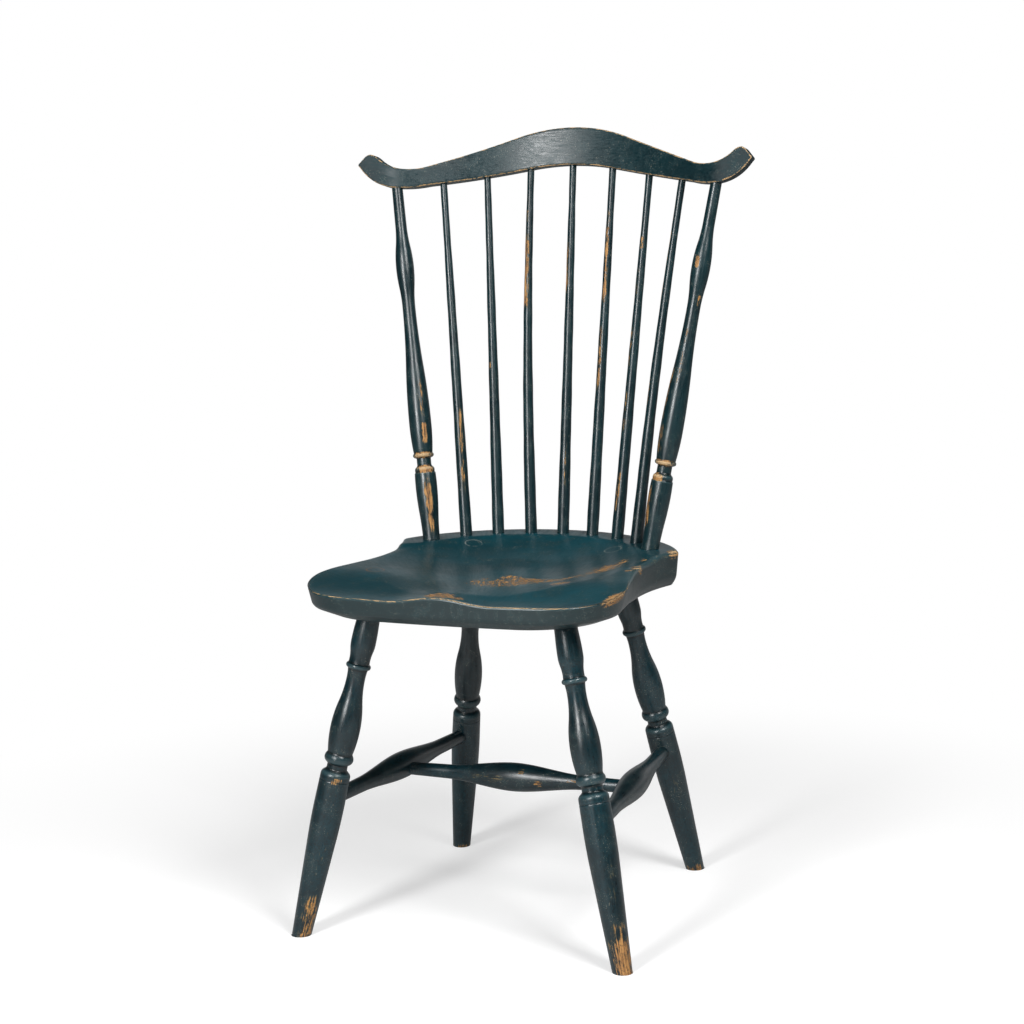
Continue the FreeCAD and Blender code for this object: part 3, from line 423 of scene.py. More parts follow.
def round_piece(name, start, finish, along, radii, material, patches=(), around=64, bow=0.0):
    """A round piece on the line from start to finish, with radii at distances along it.

    bow moves its middle sideways on a half wave. Edges count as sharp where the outline bends
    outward and as hollow where it bends inward.
    """
    length = np.linalg.norm(finish - start)
    axis = (finish - start) / length
    sideways = np.array([0.0, 0.0, -1.0]) if abs(axis[0]) > 0.7 else np.array([1.0, 0.0, 0.0])
    right = unit(sideways - axis * (axis @ sideways))
    back = np.cross(axis, right)
    facing = np.linspace(0, 2 * math.pi, around, endpoint=False)
    share = (along / length)[:, None]
    wave = np.sin(math.pi * np.clip(share, 0, 1))
    middle = start + along[:, None] * axis + wave * right * bow
    outward = np.sin(facing)[:, None] * right - np.cos(facing)[:, None] * back
    rows = middle[:, None, :] + radii[:, None, None] * outward[None]
    even = np.arange(along[0], along[-1], EDGE_STEP)
    radius = np.interp(even, along, radii)
    padded = np.pad(radius, EDGE_SPAN, mode="edge")
    bend = 2 * radius - padded[:-2 * EDGE_SPAN] - padded[2 * EDGE_SPAN:]
    edge = np.clip(np.interp(along, even, bend) / SHARP_BEND, -1, 1)
    wood = np.stack(np.broadcast_arrays(radii[:, None] * np.sin(facing), radii[:, None] * np.cos(facing),
                                        along[:, None]), axis=-1)
    facts = {"wood": wood + NOISE_SHIFT * next(piece_order),
             "edge": np.broadcast_to(edge[:, None], rows.shape[:2]),
             "worn": worn_map(patches, share, facing[None])}
    return shell(name, rows, material, facts)


# Legs, from the underside of the seat to the floor

LEG_RADIUS = 0.018
LEG_SEAT_RADIUS = 0.0134
LEG_TENON_RADIUS = 0.0125
LEG_TENON_DEPTH = 0.025
FOOT_RADIUS = 0.0112
# How far a splayed leg runs on below the floor before it is cut level
FOOT_OVERRUN = 0.0075
LEG_TURNING_SHARES = [
    (0.102, 0.822, "ogee"), (0.156, 0.690, "line"), (0.166, 0.700, "fall"), (0.174, 0.825, "swell"),
    (0.182, 0.665, "fall"), (0.211, 0.612, "ogee"), (0.365, 0.989, "swell"), (0.437, 0.835, "line"),
    (0.441, 0.850, "fall"), (0.455, 0.965, "swell"), (0.469, 0.800, "line"), (0.473, 0.680, "line"),
    (0.488, 0.690, "line"), (0.494, 0.830, "fall"), (0.507, 0.990, "line"), (0.519, 0.994, "line"),
    (0.521, 0.970, "line"), (0.523, 0.996, "line"), (0.600, 1.015, "swell"), (0.680, 0.985, "line"),
]
# Across and along, at the underside of the seat and on the floor
LEG_TOPS = {"front": (0.1222, -0.1472), "back": (0.1001, 0.1051)}
FEET = {"front": (0.2036, -0.1991), "back": (0.1640, 0.1906)}
# A leg runs downward, so its front faces 180 degrees
LEG_PATCHES = {
    "leg_front_left": [(0.84, 1.12, 130, 80, 0.50), (0.505, 0.53, 150, 60, 0.36),
                       (0.62, 0.84, 140, 60, 0.13)],
    "leg_front_right": [(0.87, 1.14, 142, 100, 1.02), (0.84, 1.00, 142, 70, 0.40),
                        (0.62, 0.88, 140, 60, 0.15)],
    "leg_back_left": [(0.97, 1.06, 150, 120, 0.36), (0.60, 0.86, 150, 60, 0.10)],
    "leg_back_right": [(0.965, 1.06, 160, 110, 0.72), (0.60, 0.86, 150, 60, 0.12)],
}


def leg_line(end, sign):
    """Where a leg meets the underside of the seat, and the middle of its foot."""
    (top_x, top_y), (foot_x, foot_y) = LEG_TOPS[end], FEET[end]
    top = np.array([sign * top_x, top_y + LINE_SHIFT, UNDERSIDE])
    return top, np.array([sign * foot_x, foot_y + LINE_SHIFT, 0.0])


def level_foot(piece):
    """Presses every point below the floor up to it, so that a splayed leg stands flat."""
    places = np.zeros(len(piece.data.vertices) * 3, np.float32)
    piece.data.vertices.foreach_get("co", places)
    places[2::3] = np.maximum(places[2::3], 0.0)
    piece.data.vertices.foreach_set("co", places)


for end in ("front", "back"):
    for side, sign in SIDES:
        name = "leg_%s_%s" % (end, side)
        top, foot = leg_line(end, sign)
        length = np.linalg.norm(foot - top)
        stations = [(-LEG_TENON_DEPTH, LEG_TENON_RADIUS, "line"), (0.0, LEG_SEAT_RADIUS, "ogee")]
        stations += [(length * down, LEG_RADIUS * out, curve) for down, out, curve in LEG_TURNING_SHARES]
        stations += [(length + FOOT_OVERRUN, FOOT_RADIUS, "line")]
        along, radii = turned_outline(stations)
        piece = round_piece(name + "_turned", top, foot, along, radii, TURNED_PAINT, LEG_PATCHES[name])
        level_foot(piece)
        stand_for(piece, "aged_paint_turned", name)


# Stretchers

STRETCHER_HEIGHT = 0.164
MEDIAL_DROP = 0.003
STRETCHER_OVERRUN = 0.004
SIDE_END_RADIUS = 0.0086
SIDE_SWELL_RADIUS = 0.0165
MEDIAL_END_RADIUS = 0.0078
MEDIAL_SWELL_RADIUS = 0.0176
# The lead is the near straight part at each end: its share of the length and of the growth
LEAD_LENGTH_SHARE = 0.2
LEAD_GROWTH_SHARE = 0.10
MEDIAL_PATCHES = [(0.595, 0.640, 8, 26, 0.66), (0.525, 0.56, -38, 24, 0.5), (0.72, 0.80, -21, 18, 0.46),
                  (0.30, 0.50, 0, 50, 0.20)]


def stretcher(name, start, finish, end_radius, swell_radius, patches=()):
    """A stretcher that grows a little from each end, then in an even S to its swelled middle."""
    length = np.linalg.norm(finish - start)
    along = np.linspace(-STRETCHER_OVERRUN, length + STRETCHER_OVERRUN, 420)
    near = np.minimum(along, length - along) / length
    lead = np.clip(near / LEAD_LENGTH_SHARE, 0, 1)
    rest = smooth((near - LEAD_LENGTH_SHARE) / (0.5 - LEAD_LENGTH_SHARE))
    shape = LEAD_GROWTH_SHARE * lead + (1 - LEAD_GROWTH_SHARE) * rest
    radii = end_radius + (swell_radius - end_radius) * shape
    piece = round_piece(name + "_turned", start, finish, along, radii, TURNED_PAINT, patches)
    stand_for(piece, "aged_paint_turned", name)


middles = []
for side, sign in SIDES:
    ends = []
    for end in ("front", "back"):
        top, foot = leg_line(end, sign)
        ends.append(foot + (top - foot) * (STRETCHER_HEIGHT / UNDERSIDE))
    stretcher("side_stretcher_" + side, ends[0], ends[1], SIDE_END_RADIUS, SIDE_SWELL_RADIUS)
    middles.append((ends[0] + ends[1]) / 2 - np.array([0.0, 0.0, MEDIAL_DROP]))
stretcher("medial_stretcher", middles[0], middles[1], MEDIAL_END_RADIUS, MEDIAL_SWELL_RADIUS,
          MEDIAL_PATCHES)


# The crest rail in its own leaning frame: bent in plan, cut to its outline square from in front

CREST_HEIGHT = 0.885
CREST_REACH = 0.2295
CREST_THICKNESS = 0.017
CREST_RISE = 0.061
CREST_HALF_WIDTH = 0.262
LEAN = math.radians(10)
BEND_RADIUS = 0.330
BEND_ANGLE = math.radians(29)
EAR_ANGLE = math.radians(10)
EAR_START_SHARE = 0.75
EAR_RADIUS_SHARE = 0.42
# The board is worked out this far past the ears, so that its faces cover their ends
EAR_OVERRUN = 0.08
RAIL_ROUNDING = 0.0026
# Shares of the half width and of the rise
LOWER_EDGE_SHARES = [(0.0, 0.222, "swell"), (0.190, 0.148, "line"), (0.677, -0.292, "fall"),
                     (0.806, -0.375, "swell"), (0.985, 0.016, "line"), (1.0, 0.085, "line")]
UPPER_EDGE_SHARES = [(0.0, 1.0, "swell"), (0.285, 0.765, "line"), (0.669, 0.118, "fall"),
                     (0.772, 0.028, "swell"), (0.905, 0.252, "fall"), (0.945, 0.315, "line"),
                     (0.962, 0.275, "line"), (1.0, 0.085, "line")]
EAR_END_SHARES = (0.985, 0.160)
# Each place of the outline is the mean of this many neighbours on either side, which rounds the ears
EAR_ROUNDING = 2
OUTLINE_QUARTER = 300
# Where a rounded edge is worn most, as a turn from the face, and how far that reaches round it
EDGE_WORN_TURN, EDGE_WORN_REACH = 0.9, 0.75
# How worn the edges are: below, above on the left, and how much more above on the right and at the
# ears, with the distances across over which that comes in
LOWER_WORN, UPPER_WORN, BEHIND_WORN = 0.60, 0.48, 0.40
RIGHT_WORN, RIGHT_FADE = 0.12, 0.06
EAR_WORN, EAR_WORN_START, EAR_WORN_FADE = 0.10, 0.235, 0.02
# The paint is dull from here out to the ears
DULL_START, DULL_FADE = 0.205, 0.025
CREST_NOISE_SHIFT = 7.3


def rail_to_frame(places):
    """Places in the leaning rail's own frame, moved to the chair's."""
    across, back, up = places[..., 0], places[..., 1], places[..., 2]
    return np.stack([across, CREST_REACH + LINE_SHIFT + back * math.cos(LEAN) + up * math.sin(LEAN),
                     CREST_HEIGHT + up * math.cos(LEAN) - back * math.sin(LEAN)], axis=-1)


def rail_plan(offset):
    """Across and back places of the bent board's face at an offset behind its middle.

    The board runs on a circle, then straight, then on a small circle back to the ears.
    """
    ear_radius = CREST_HALF_WIDTH * EAR_RADIUS_SHARE
    bow = np.linspace(0, BEND_ANGLE, 60)
    board = np.column_stack([BEND_RADIUS * np.sin(bow), -BEND_RADIUS * (1 - np.cos(bow))])
    run = (CREST_HALF_WIDTH * EAR_START_SHARE - board[-1][0]) / math.cos(BEND_ANGLE)
    ear_start = board[-1] + np.array([math.cos(BEND_ANGLE), -math.sin(BEND_ANGLE)]) * run
    centre = ear_start + np.array([math.sin(BEND_ANGLE), math.cos(BEND_ANGLE)]) * ear_radius
    curl = np.linspace(BEND_ANGLE, EAR_ANGLE, 40)
    ear = centre - np.column_stack([np.sin(curl), np.cos(curl)]) * ear_radius
    tip = ear[-1] + np.array([math.cos(EAR_ANGLE), -math.sin(EAR_ANGLE)]) * EAR_OVERRUN
    turn = np.concatenate([bow, curl, [EAR_ANGLE]])
    return np.concatenate([board, ear, [tip]]) + np.column_stack([np.sin(turn), np.cos(turn)]) * offset


def face_back(across, offset):
    """How far back a face of the board is at places across."""
    plan = rail_plan(offset)
    return np.interp(np.abs(across), plan[:, 0], plan[:, 1])


def edge_path(stations):
    """Across and up places of an edge of the rail, from the middle to an ear."""
    return turned_outline([(out * CREST_HALF_WIDTH, up * CREST_RISE, curve) for out, up, curve in stations])


def even_places(places, count):
    """Places at even steps along a path, from its start to its end."""
    along = np.concatenate([[0], np.cumsum(np.linalg.norm(np.diff(places, axis=0), axis=1))])
    even = np.linspace(0, along[-1], count)
    return np.column_stack([np.interp(even, along, places[:, 0]), np.interp(even, along, places[:, 1])])


def rail_outline():
    """The rail's outline, a loop: over the top to the right ear, back below to the left ear and
    over the top again.

    The places go evenly from the middle to the middle of each ear's end, above and below alike.
    Each is then the mean of its neighbours, which rounds the corners of the ears.
    """
    upper, lower = (np.column_stack(edge_path(stations))
                    for stations in (UPPER_EDGE_SHARES, LOWER_EDGE_SHARES))
    end = np.array([EAR_END_SHARES[0] * CREST_HALF_WIDTH, EAR_END_SHARES[1] * CREST_RISE])
    above = even_places(np.concatenate([upper[upper[:, 0] < end[0]], [end]]), OUTLINE_QUARTER + 1)
    below = even_places(np.concatenate([lower, [end]]), OUTLINE_QUARTER + 1)
    right = np.concatenate([above, below[-2::-1]])
    loop = np.concatenate([right, right[-2:0:-1] * np.array([-1, 1])])
    near = range(-EAR_ROUNDING, EAR_ROUNDING + 1)
    return sum(np.roll(loop, step, 0) for step in near) / len(near)


def crest():
    """The rail: its outline swept from the front face over rounded edges to the back face.

    Each face runs from the outline, drawn in by the rounding, to the line halfway between its
    top and its bottom.
    """
    loop = rail_outline()
    number = np.arange(4 * OUTLINE_QUARTER)
    partner = np.where(number <= 2 * OUTLINE_QUARTER, 2 * OUTLINE_QUARTER - number,
                       6 * OUTLINE_QUARTER - number)
    ahead = unit(np.roll(loop, -1, 0) - np.roll(loop, 1, 0))
    outward = np.column_stack([-ahead[:, 1], ahead[:, 0]])
    inner = loop - outward * RAIL_ROUNDING
    middle = (inner + inner[partner]) / 2
    face = middle + (inner - middle) * np.linspace(0, 1, 14)[:-1, None, None]
    turn = np.linspace(0, math.pi / 2, 9)
    depth = RAIL_ROUNDING * (1 - np.cos(turn))
    rounding = loop - outward * (RAIL_ROUNDING * (1 - np.sin(turn)))[:, None, None]
    outline_rows = np.concatenate([face, rounding, rounding[::-1], face[::-1]])
    reach = CREST_THICKNESS / 2
    offsets = np.concatenate([np.full(len(face), -reach), depth - reach, (reach - depth)[::-1],
                              np.full(len(face), reach)])
    back = np.stack([face_back(row[:, 0], offset) for row, offset in zip(outline_rows, offsets)])
    rows = rail_to_frame(np.dstack([outline_rows[..., 0], back, outline_rows[..., 1]]))
    ring = np.arange(rows.shape[0] * len(number)).reshape(rows.shape[:2])
    joined = np.minimum(number, partner)
    ring[0], ring[-1] = joined, ring[-1, 0] + joined
    # Rubbed along the lower front edge all the way, the upper one mostly right of the peak
    front_edge = np.zeros(len(offsets))
    front_edge[len(face):len(face) + len(turn)] = bump((turn - EDGE_WORN_TURN) / EDGE_WORN_REACH)
    behind_edge = front_edge[::-1]
    across = loop[:, 0]
    above = smooth(outward[:, 1] * 2 + 0.5)
    share = (1 - above) * LOWER_WORN + above * (UPPER_WORN + RIGHT_WORN * smooth(across / RIGHT_FADE))
    share = share + EAR_WORN * smooth((np.abs(across) - EAR_WORN_START) / EAR_WORN_FADE)
    worn = front_edge[:, None] * share + behind_edge[:, None] * BEHIND_WORN
    edge = np.broadcast_to((front_edge + behind_edge)[:, None], rows.shape[:2])
    wood = np.dstack([back, outline_rows[..., 1], outline_rows[..., 0]]) + CREST_NOISE_SHIFT
    dull = np.broadcast_to(smooth((np.abs(across) - DULL_START) / DULL_FADE), rows.shape[:2])
    facts = {"wood": wood.reshape(-1, 3), "edge": edge.ravel(), "worn": worn.ravel(),
             "dull": dull.ravel()}
    return skin("crest_rail_bent", rows.reshape(-1, 3), quads_between(ring[:-1], ring[1:]),
                np.zeros((0, 3), int), PAINT, facts)


stand_for(crest(), "aged_paint", "crest_rail")


def rail_point(across):
    """Where an upright standing that far across enters the underside of the rail.

    The height is read as if the edge ran straight between its stations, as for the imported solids.
    """
    stations = [(out, up, "line") for out, up, curve in LOWER_EDGE_SHARES]
    height = np.interp(abs(across), *edge_path(stations))
    return rail_to_frame(np.array([across, face_back(across, 0.0), height]))


# Posts

POST_RADIUS = 0.0141
POST_SEAT_RADIUS = 0.0107
POST_TOP_RADIUS = 0.0069
POST_TENON_RADIUS = 0.0086
POST_FOOT = (0.1462, 0.0843)
POST_TOP_ACROSS = 0.2128
# How far an upright runs into the rail, and how far a post's tenon stands out under the seat
RAIL_ENTRY = 0.008
POST_TENON_PROUD = 0.0003
POST_TURNING_SHARES = [
    (0.151, 0.972, "swell"), (0.187, 0.940, "line"), (0.189, 0.870, "fall"), (0.196, 0.885, "swell"),
    (0.205, 0.720, "line"), (0.209, 0.640, "line"), (0.229, 0.640, "line"), (0.232, 0.865, "fall"),
    (0.2375, 0.940, "swell"), (0.243, 0.844, "fall"), (0.324, 1.0, "ogee"), (0.661, 0.582, "ogee"),
    (0.772, 0.809, "ogee"), (0.892, 0.515, "line"),
]
POST_PATCHES = {
    "left": [(0.00, 0.190, 30, 40, 0.72), (0.183, 0.211, 30, 110, 0.74), (0.226, 0.248, 22, 110, 0.80),
             (0.262, 0.336, 40, 30, 0.82), (0.33, 0.47, 42, 22, 0.46)],
    "right": [(0.04, 0.185, -48, 40, 0.70), (0.183, 0.211, -25, 90, 0.66), (0.226, 0.248, 5, 100, 0.78),
              (0.25, 0.35, -45, 44, 0.56), (0.33, 0.52, -58, 36, 0.50), (0.42, 0.64, 4, 18, 0.42),
              (0.762, 0.806, -11, 24, 0.74), (0.66, 0.70, 50, 22, 0.6)],
}

for side, sign in SIDES:
    foot = np.array([sign * POST_FOOT[0], POST_FOOT[1] + LINE_SHIFT, SEAT_HEIGHT])
    top = rail_point(sign * POST_TOP_ACROSS)
    length = np.linalg.norm(top - foot)
    tenon = SEAT_THICKNESS / unit(top - foot)[2]
    stations = [(-tenon - POST_TENON_PROUD, POST_TENON_RADIUS, "line"), (0.0, POST_SEAT_RADIUS, "ogee")]
    stations += [(length * up, POST_RADIUS * out, curve) for up, out, curve in POST_TURNING_SHARES]
    stations += [(length, POST_TOP_RADIUS, "line"), (length + RAIL_ENTRY, POST_TOP_RADIUS, "line")]
    along, radii = turned_outline(stations)
    piece = round_piece("back_post_%s_turned" % side, foot, top, along, radii, BACK_PAINT,
                        POST_PATCHES[side])
    stand_for(piece, "aged_paint", "back_post_" + side)


# Spindles

SPINDLE_SEAT_RADIUS = 0.0076
SPINDLE_TOP_RADIUS = 0.0044
SPINDLE_ARC_RADIUS = 0.168
SPINDLE_BACK_REACH = 0.1689
SPINDLE_STEP = math.radians(14.4)
SPINDLE_TOP_SPACING = 0.0558
SPINDLE_SEAT_ENTRY = 0.010
TAPER_START_SHARE, TAPER_LENGTH_SHARE = 0.06, 0.84
# Each spindle's bow sideways, and the waves of its shaving: how high, how many radians to a metre
# and how many radians they shift from one spindle to the next
SPINDLE_BOWS = [0.0, 0.0, -0.0045, 0.0, 0.0, 0.0, -0.003]
SHAVING_WAVES = ((0.00012, 61, 1), (0.00008, 143, 2))
SPINDLE_PATCHES = [
    [(0.08, 0.42, 34, 40, 0.50)],
    [(0.462, 0.486, -22, 34, 0.70), (0.430, 0.446, -55, 26, 0.6)],
    [(0.59, 0.85, -18, 66, 0.78), (0.84, 0.95, -18, 40, 0.36)],
    [(0.62, 0.83, -40, 48, 0.74), (0.10, 0.30, 20, 40, 0.32)],
    [(0.60, 0.91, -5, 44, 0.78), (0.37, 0.60, -16, 62, 0.56)],
    [(0.79, 0.84, 0, 34, 0.54), (0.66, 0.76, -12, 34, 0.46), (0.46, 0.60, -38, 36, 0.50),
     (0.28, 0.42, -25, 46, 0.46), (0.06, 0.20, -20, 40, 0.56)],
    [(0.62, 0.99, -60, 34, 0.62), (0.20, 0.50, -50, 30, 0.36)],
]


def rail_across(run):
    """How far across a place lies that is a run along the bow from the middle."""
    if abs(run) <= BEND_RADIUS * BEND_ANGLE:
        return BEND_RADIUS * math.sin(run / BEND_RADIUS)
    beyond = (abs(run) - BEND_RADIUS * BEND_ANGLE) * math.cos(BEND_ANGLE)
    return math.copysign(BEND_RADIUS * math.sin(BEND_ANGLE) + beyond, run)


for index, (bow, patches) in enumerate(zip(SPINDLE_BOWS, SPINDLE_PATCHES)):
    number = index + 1
    step = index - len(SPINDLE_BOWS) // 2
    turn = SPINDLE_STEP * step
    foot_back = SPINDLE_BACK_REACH - SPINDLE_ARC_RADIUS + SPINDLE_ARC_RADIUS * math.cos(turn)
    foot = np.array([SPINDLE_ARC_RADIUS * math.sin(turn), foot_back + LINE_SHIFT, SEAT_HEIGHT])
    top = rail_point(rail_across(step * SPINDLE_TOP_SPACING))
    length = np.linalg.norm(top - foot)
    along = np.linspace(-SPINDLE_SEAT_ENTRY, length + RAIL_ENTRY, 520)
    taper = np.clip((along / length - TAPER_START_SHARE) / TAPER_LENGTH_SHARE, 0, 1)
    shaved = sum(high * np.sin(along * pace + number * shift) for high, pace, shift in SHAVING_WAVES)
    radii = SPINDLE_SEAT_RADIUS + (SPINDLE_TOP_RADIUS - SPINDLE_SEAT_RADIUS) * taper + shaved
    piece = round_piece("spindle_%d_shaved" % number, foot, top, along, radii, BACK_PAINT, patches,
                        around=40, bow=bow)
    stand_for(piece, "aged_paint", "spindle_%d" % number)


# The seat: a plank with a shield outline, bevelled below and saddled above

# The plank's plan: radii of its arcs and how far they reach from the line across the seat
FRONT_RADIUS, FRONT_REACH = 1.2, 0.232
WAIST_RADIUS, WAIST_REACH = 0.230, 0.170
BACK_RADIUS, BACK_REACH = 0.207, 0.195
DECK_CORNER_RADIUS = 0.012
# Outlines of the top, of the foot of its edge and of the underside. Each says how far it is drawn in,
# before, at the waist and behind, how far forward the waist's arc goes and the front corners' radius
TOP_PLAN = (0, 0, 0, 0.057, 0.078)
EDGE_FOOT_PLAN = (0.0025, 0.0035, 0.003, 0.040, 0.074)
UNDERSIDE_PLAN = (0.012, 0.009, 0.008, 0.010, 0.082)


def sweep(centre, begin, finish, count):
    """Places on a circle from begin up to finish, the shorter way round the centre."""
    first = math.atan2(*(begin - centre)[::-1])
    turn = math.atan2(*(finish - centre)[::-1]) - first
    turn = (turn + math.pi) % (2 * math.pi) - math.pi
    angles = first + turn * np.arange(count) / count
    return centre + np.linalg.norm(begin - centre) * np.column_stack([np.cos(angles), np.sin(angles)])


def plank_outline(front_inset, waist_inset, back_inset, flare_reach, corner_radius):
    """The plank's outline drawn in by the insets, anticlockwise from the middle of the front.

    A slight round in front, a round corner, a straight flare, the hollow waist, the small corner
    at the end of the deck and the round back, then the same on the left. The front corner's circle
    lies inside the front's and touches the flare, so its centre is on a line beside the flare, at
    the difference of the radii from the front's centre. The deck corner's circle lies inside the
    back's and outside the waist's, so its centre is where two circles round theirs cross.
    """
    front_radius, front_centre = FRONT_RADIUS - front_inset, np.array([0, FRONT_RADIUS - FRONT_REACH])
    waist_radius, waist_centre = WAIST_RADIUS + waist_inset, np.array([WAIST_REACH + WAIST_RADIUS, 0])
    back_radius, back_centre = BACK_RADIUS - back_inset, np.array([0, BACK_REACH - BACK_RADIUS])
    angle = math.asin(flare_reach / WAIST_RADIUS)
    inward = np.array([-math.cos(angle), -math.sin(angle)])
    forward = np.array([math.sin(angle), -math.cos(angle)])
    flare = waist_centre + inward * waist_radius
    start = flare + inward * corner_radius - front_centre
    ahead = start @ forward
    run = math.sqrt((front_radius - corner_radius) ** 2 - start @ start + ahead ** 2) - ahead
    corner_centre = front_centre + start + forward * run
    corner = flare + forward * run
    front = front_centre + unit(corner_centre - front_centre) * front_radius
    apart = waist_centre - back_centre
    distance = np.linalg.norm(apart)
    first, second = back_radius - DECK_CORNER_RADIUS, waist_radius + DECK_CORNER_RADIUS
    reach = (distance ** 2 + first ** 2 - second ** 2) / (2 * distance)
    ahead = apart / distance
    aside = np.array([-ahead[1], ahead[0]]) * math.sqrt(first ** 2 - reach ** 2)
    end_centre = back_centre + ahead * reach + aside
    waist = waist_centre + unit(end_centre - waist_centre) * waist_radius
    back = back_centre + unit(end_centre - back_centre) * back_radius
    back_middle = back_centre + np.array([0, back_radius])
    half = np.concatenate([
        sweep(front_centre, front_centre - np.array([0, front_radius]), front, 100),
        sweep(corner_centre, front, corner, 80),
        corner + (flare - corner) * (np.arange(24) / 24)[:, None],
        sweep(waist_centre, flare, waist, 90), sweep(end_centre, waist, back, 24),
        sweep(back_centre, back, back_middle, 110), [back_middle]])
    mirrored = half[1:-1][::-1] * np.array([-1, 1])
    return np.concatenate([half, mirrored])


BOWL_RADIUS = 0.158
BOWL_DEPTH = 0.0155
BOWL_RIM_SOFTNESS = 0.05
BOWL_CENTRE = -0.005
BOWL_FRONT_REACH = 0.190
WAIST_FALL = 0.0035
POMMEL_FALL = 0.005
THIGH_FALL = 0.007
THIGH_RETURN = 0.001
# The saddle and the deck meet in a round this tight
DECK_MEETING = 0.0006
# Where a thigh hollow is lowest and where it ends, across, and where each form of the saddle gives
# way to the next, along the seat, as shares of the bowl's radius
THIGH_LOWEST_SHARE, THIGH_END_SHARE = 0.42, 1.20
BOWL_BLEND_SHARES = (0.13, 0.50)
WAIST_BLEND_SHARES = (0.10, 0.50)
POMMEL_BLEND_SHARES = (0.60, 1.30)
THIGH_BLEND_SHARES = (0.70, 1.42)


def between(reach, shares):
    """How far reach has come from the first share of the bowl's radius to the second."""
    low, high = shares
    return smooth((reach / BOWL_RADIUS - low) / (high - low))


def saddle_drop(across, along_seat):
    """Depth of the saddled surface under the deck.

    The bowl is round behind, with a crisp rim, and half an oval in front, where it fades out: with
    s the distance from its centre as a share of its reach, its depth is 1 less s cubed behind, and
    in front 1 less s squared, held softly above 0, to the power 1.12. The seat falls a little to
    the waist, then forward to a ridge between two thigh hollows, each a sine squared across.
    """
    from_centre = along_seat - BOWL_CENTRE
    reach = np.where(from_centre > 0, BOWL_RADIUS, BOWL_FRONT_REACH)
    spread = np.hypot(across / BOWL_RADIUS, from_centre / reach)
    behind = between(along_seat, BOWL_BLEND_SHARES)
    left = 1 - spread ** 2
    in_front = (left + np.sqrt(left ** 2 + BOWL_RIM_SOFTNESS ** 2)) / 2
    bowl = behind * (1 - spread ** 3) + (1 - behind) * in_front ** 1.12
    waist = WAIST_FALL * (1 - between(along_seat, WAIST_BLEND_SHARES))
    pommel = POMMEL_FALL * between(-along_seat, POMMEL_BLEND_SHARES)
    aside = np.abs(across) / BOWL_RADIUS
    thigh = THIGH_FALL * np.sin(math.pi / 2 * np.minimum(aside / THIGH_LOWEST_SHARE, 1)) ** 2
    beyond = (aside - THIGH_LOWEST_SHARE) / (THIGH_END_SHARE - THIGH_LOWEST_SHARE)
    thigh = thigh - THIGH_RETURN * smooth(beyond)
    return BOWL_DEPTH * bowl + waist + pommel + thigh * between(-along_seat, THIGH_BLEND_SHARES)


def seat_top(across, along_seat):
    """Height of the top: the saddle where it lies under the flat deck, met in a tight round.

    What is taken off is half of d plus the root of d squared plus a small square.
    """
    drop = saddle_drop(across, along_seat)
    return SEAT_HEIGHT - (drop + np.sqrt(drop ** 2 + DECK_MEETING ** 2)) / 2


def rounded(corner, inward, onward, radius, steps):
    """Rows round a corner, from radius inward of it to radius onward, on a quarter round."""
    turn = np.linspace(0, math.pi / 2, steps)[:, None, None]
    return corner + inward * radius * (1 - np.sin(turn)) + onward * radius * (1 - np.cos(turn))


def rows_across(first, last, count):
    """Rows at even steps from one row to another, without either, count steps in all."""
    return first + (last - first) * np.linspace(0, 1, count + 1)[1:-1, None, None]


# The rows of the plank start and end round a place a little before its middle
ROWS_MIDDLE = np.array([0.0, -0.02])
# The rim's rounding, and how much more it is rounded along the waist, which runs from the first
# place to the second, each with the distance over which that comes in
RIM_ROUNDING = 0.0030
WAIST_ROUNDING = 0.0030
WAIST_START, WAIST_START_FADE = -0.14, 0.10
WAIST_END, WAIST_END_FADE = 0.11, 0.05
EDGE_FOOT_ROUNDING = 0.0045
UNDERSIDE_ROUNDING = 0.0015
# The grain and the scuffs fan out from a place before the front edge, on an arc this far off
FAN_CENTRE = np.array([0.060, -0.260])
FAN_REACH = 0.22
SEAT_NOISE_SHIFT = 3.1

# Worn places on the seat: across, along, half length, half width, turn in degrees, how worn
SEAT_PATCHES = [
    (0.050, -0.060, 0.105, 0.066, 50, 0.53), (0.104, -0.016, 0.080, 0.038, 70, 0.56),
    (0.080, -0.052, 0.076, 0.046, 60, 0.56),
    (0.003, -0.094, 0.024, 0.018, 20, 0.58), (0.045, -0.078, 0.050, 0.028, 30, 0.56),
    (0.108, -0.121, 0.012, 0.009, 10, 0.66),
    (-0.002, -0.214, 0.026, 0.018, 0, 0.66), (0.018, -0.217, 0.014, 0.008, 0, 0.55),
    (0.196, -0.172, 0.018, 0.034, -6, 0.80), (0.181, 0.075, 0.012, 0.014, 0, 0.60),
    (0.165, -0.020, 0.010, 0.016, 0, 0.46), (0.156, 0.028, 0.006, 0.008, 0, 0.46),
    (0.162, -0.042, 0.006, 0.008, 0, 0.46),
    (-0.200, -0.190, 0.016, 0.020, 0, 0.50),
]
# How worn the front edge is, over how many rows, and where along the seat that starts
FRONT_LINE_WORN, FRONT_LINE_ROWS = 0.74, 2.2
FRONT_LINE_START, FRONT_LINE_FADE = 0.100, 0.05
# A worn place ends this far below the rim
WORN_BELOW_RIM, WORN_BELOW_FADE = 0.003, 0.007


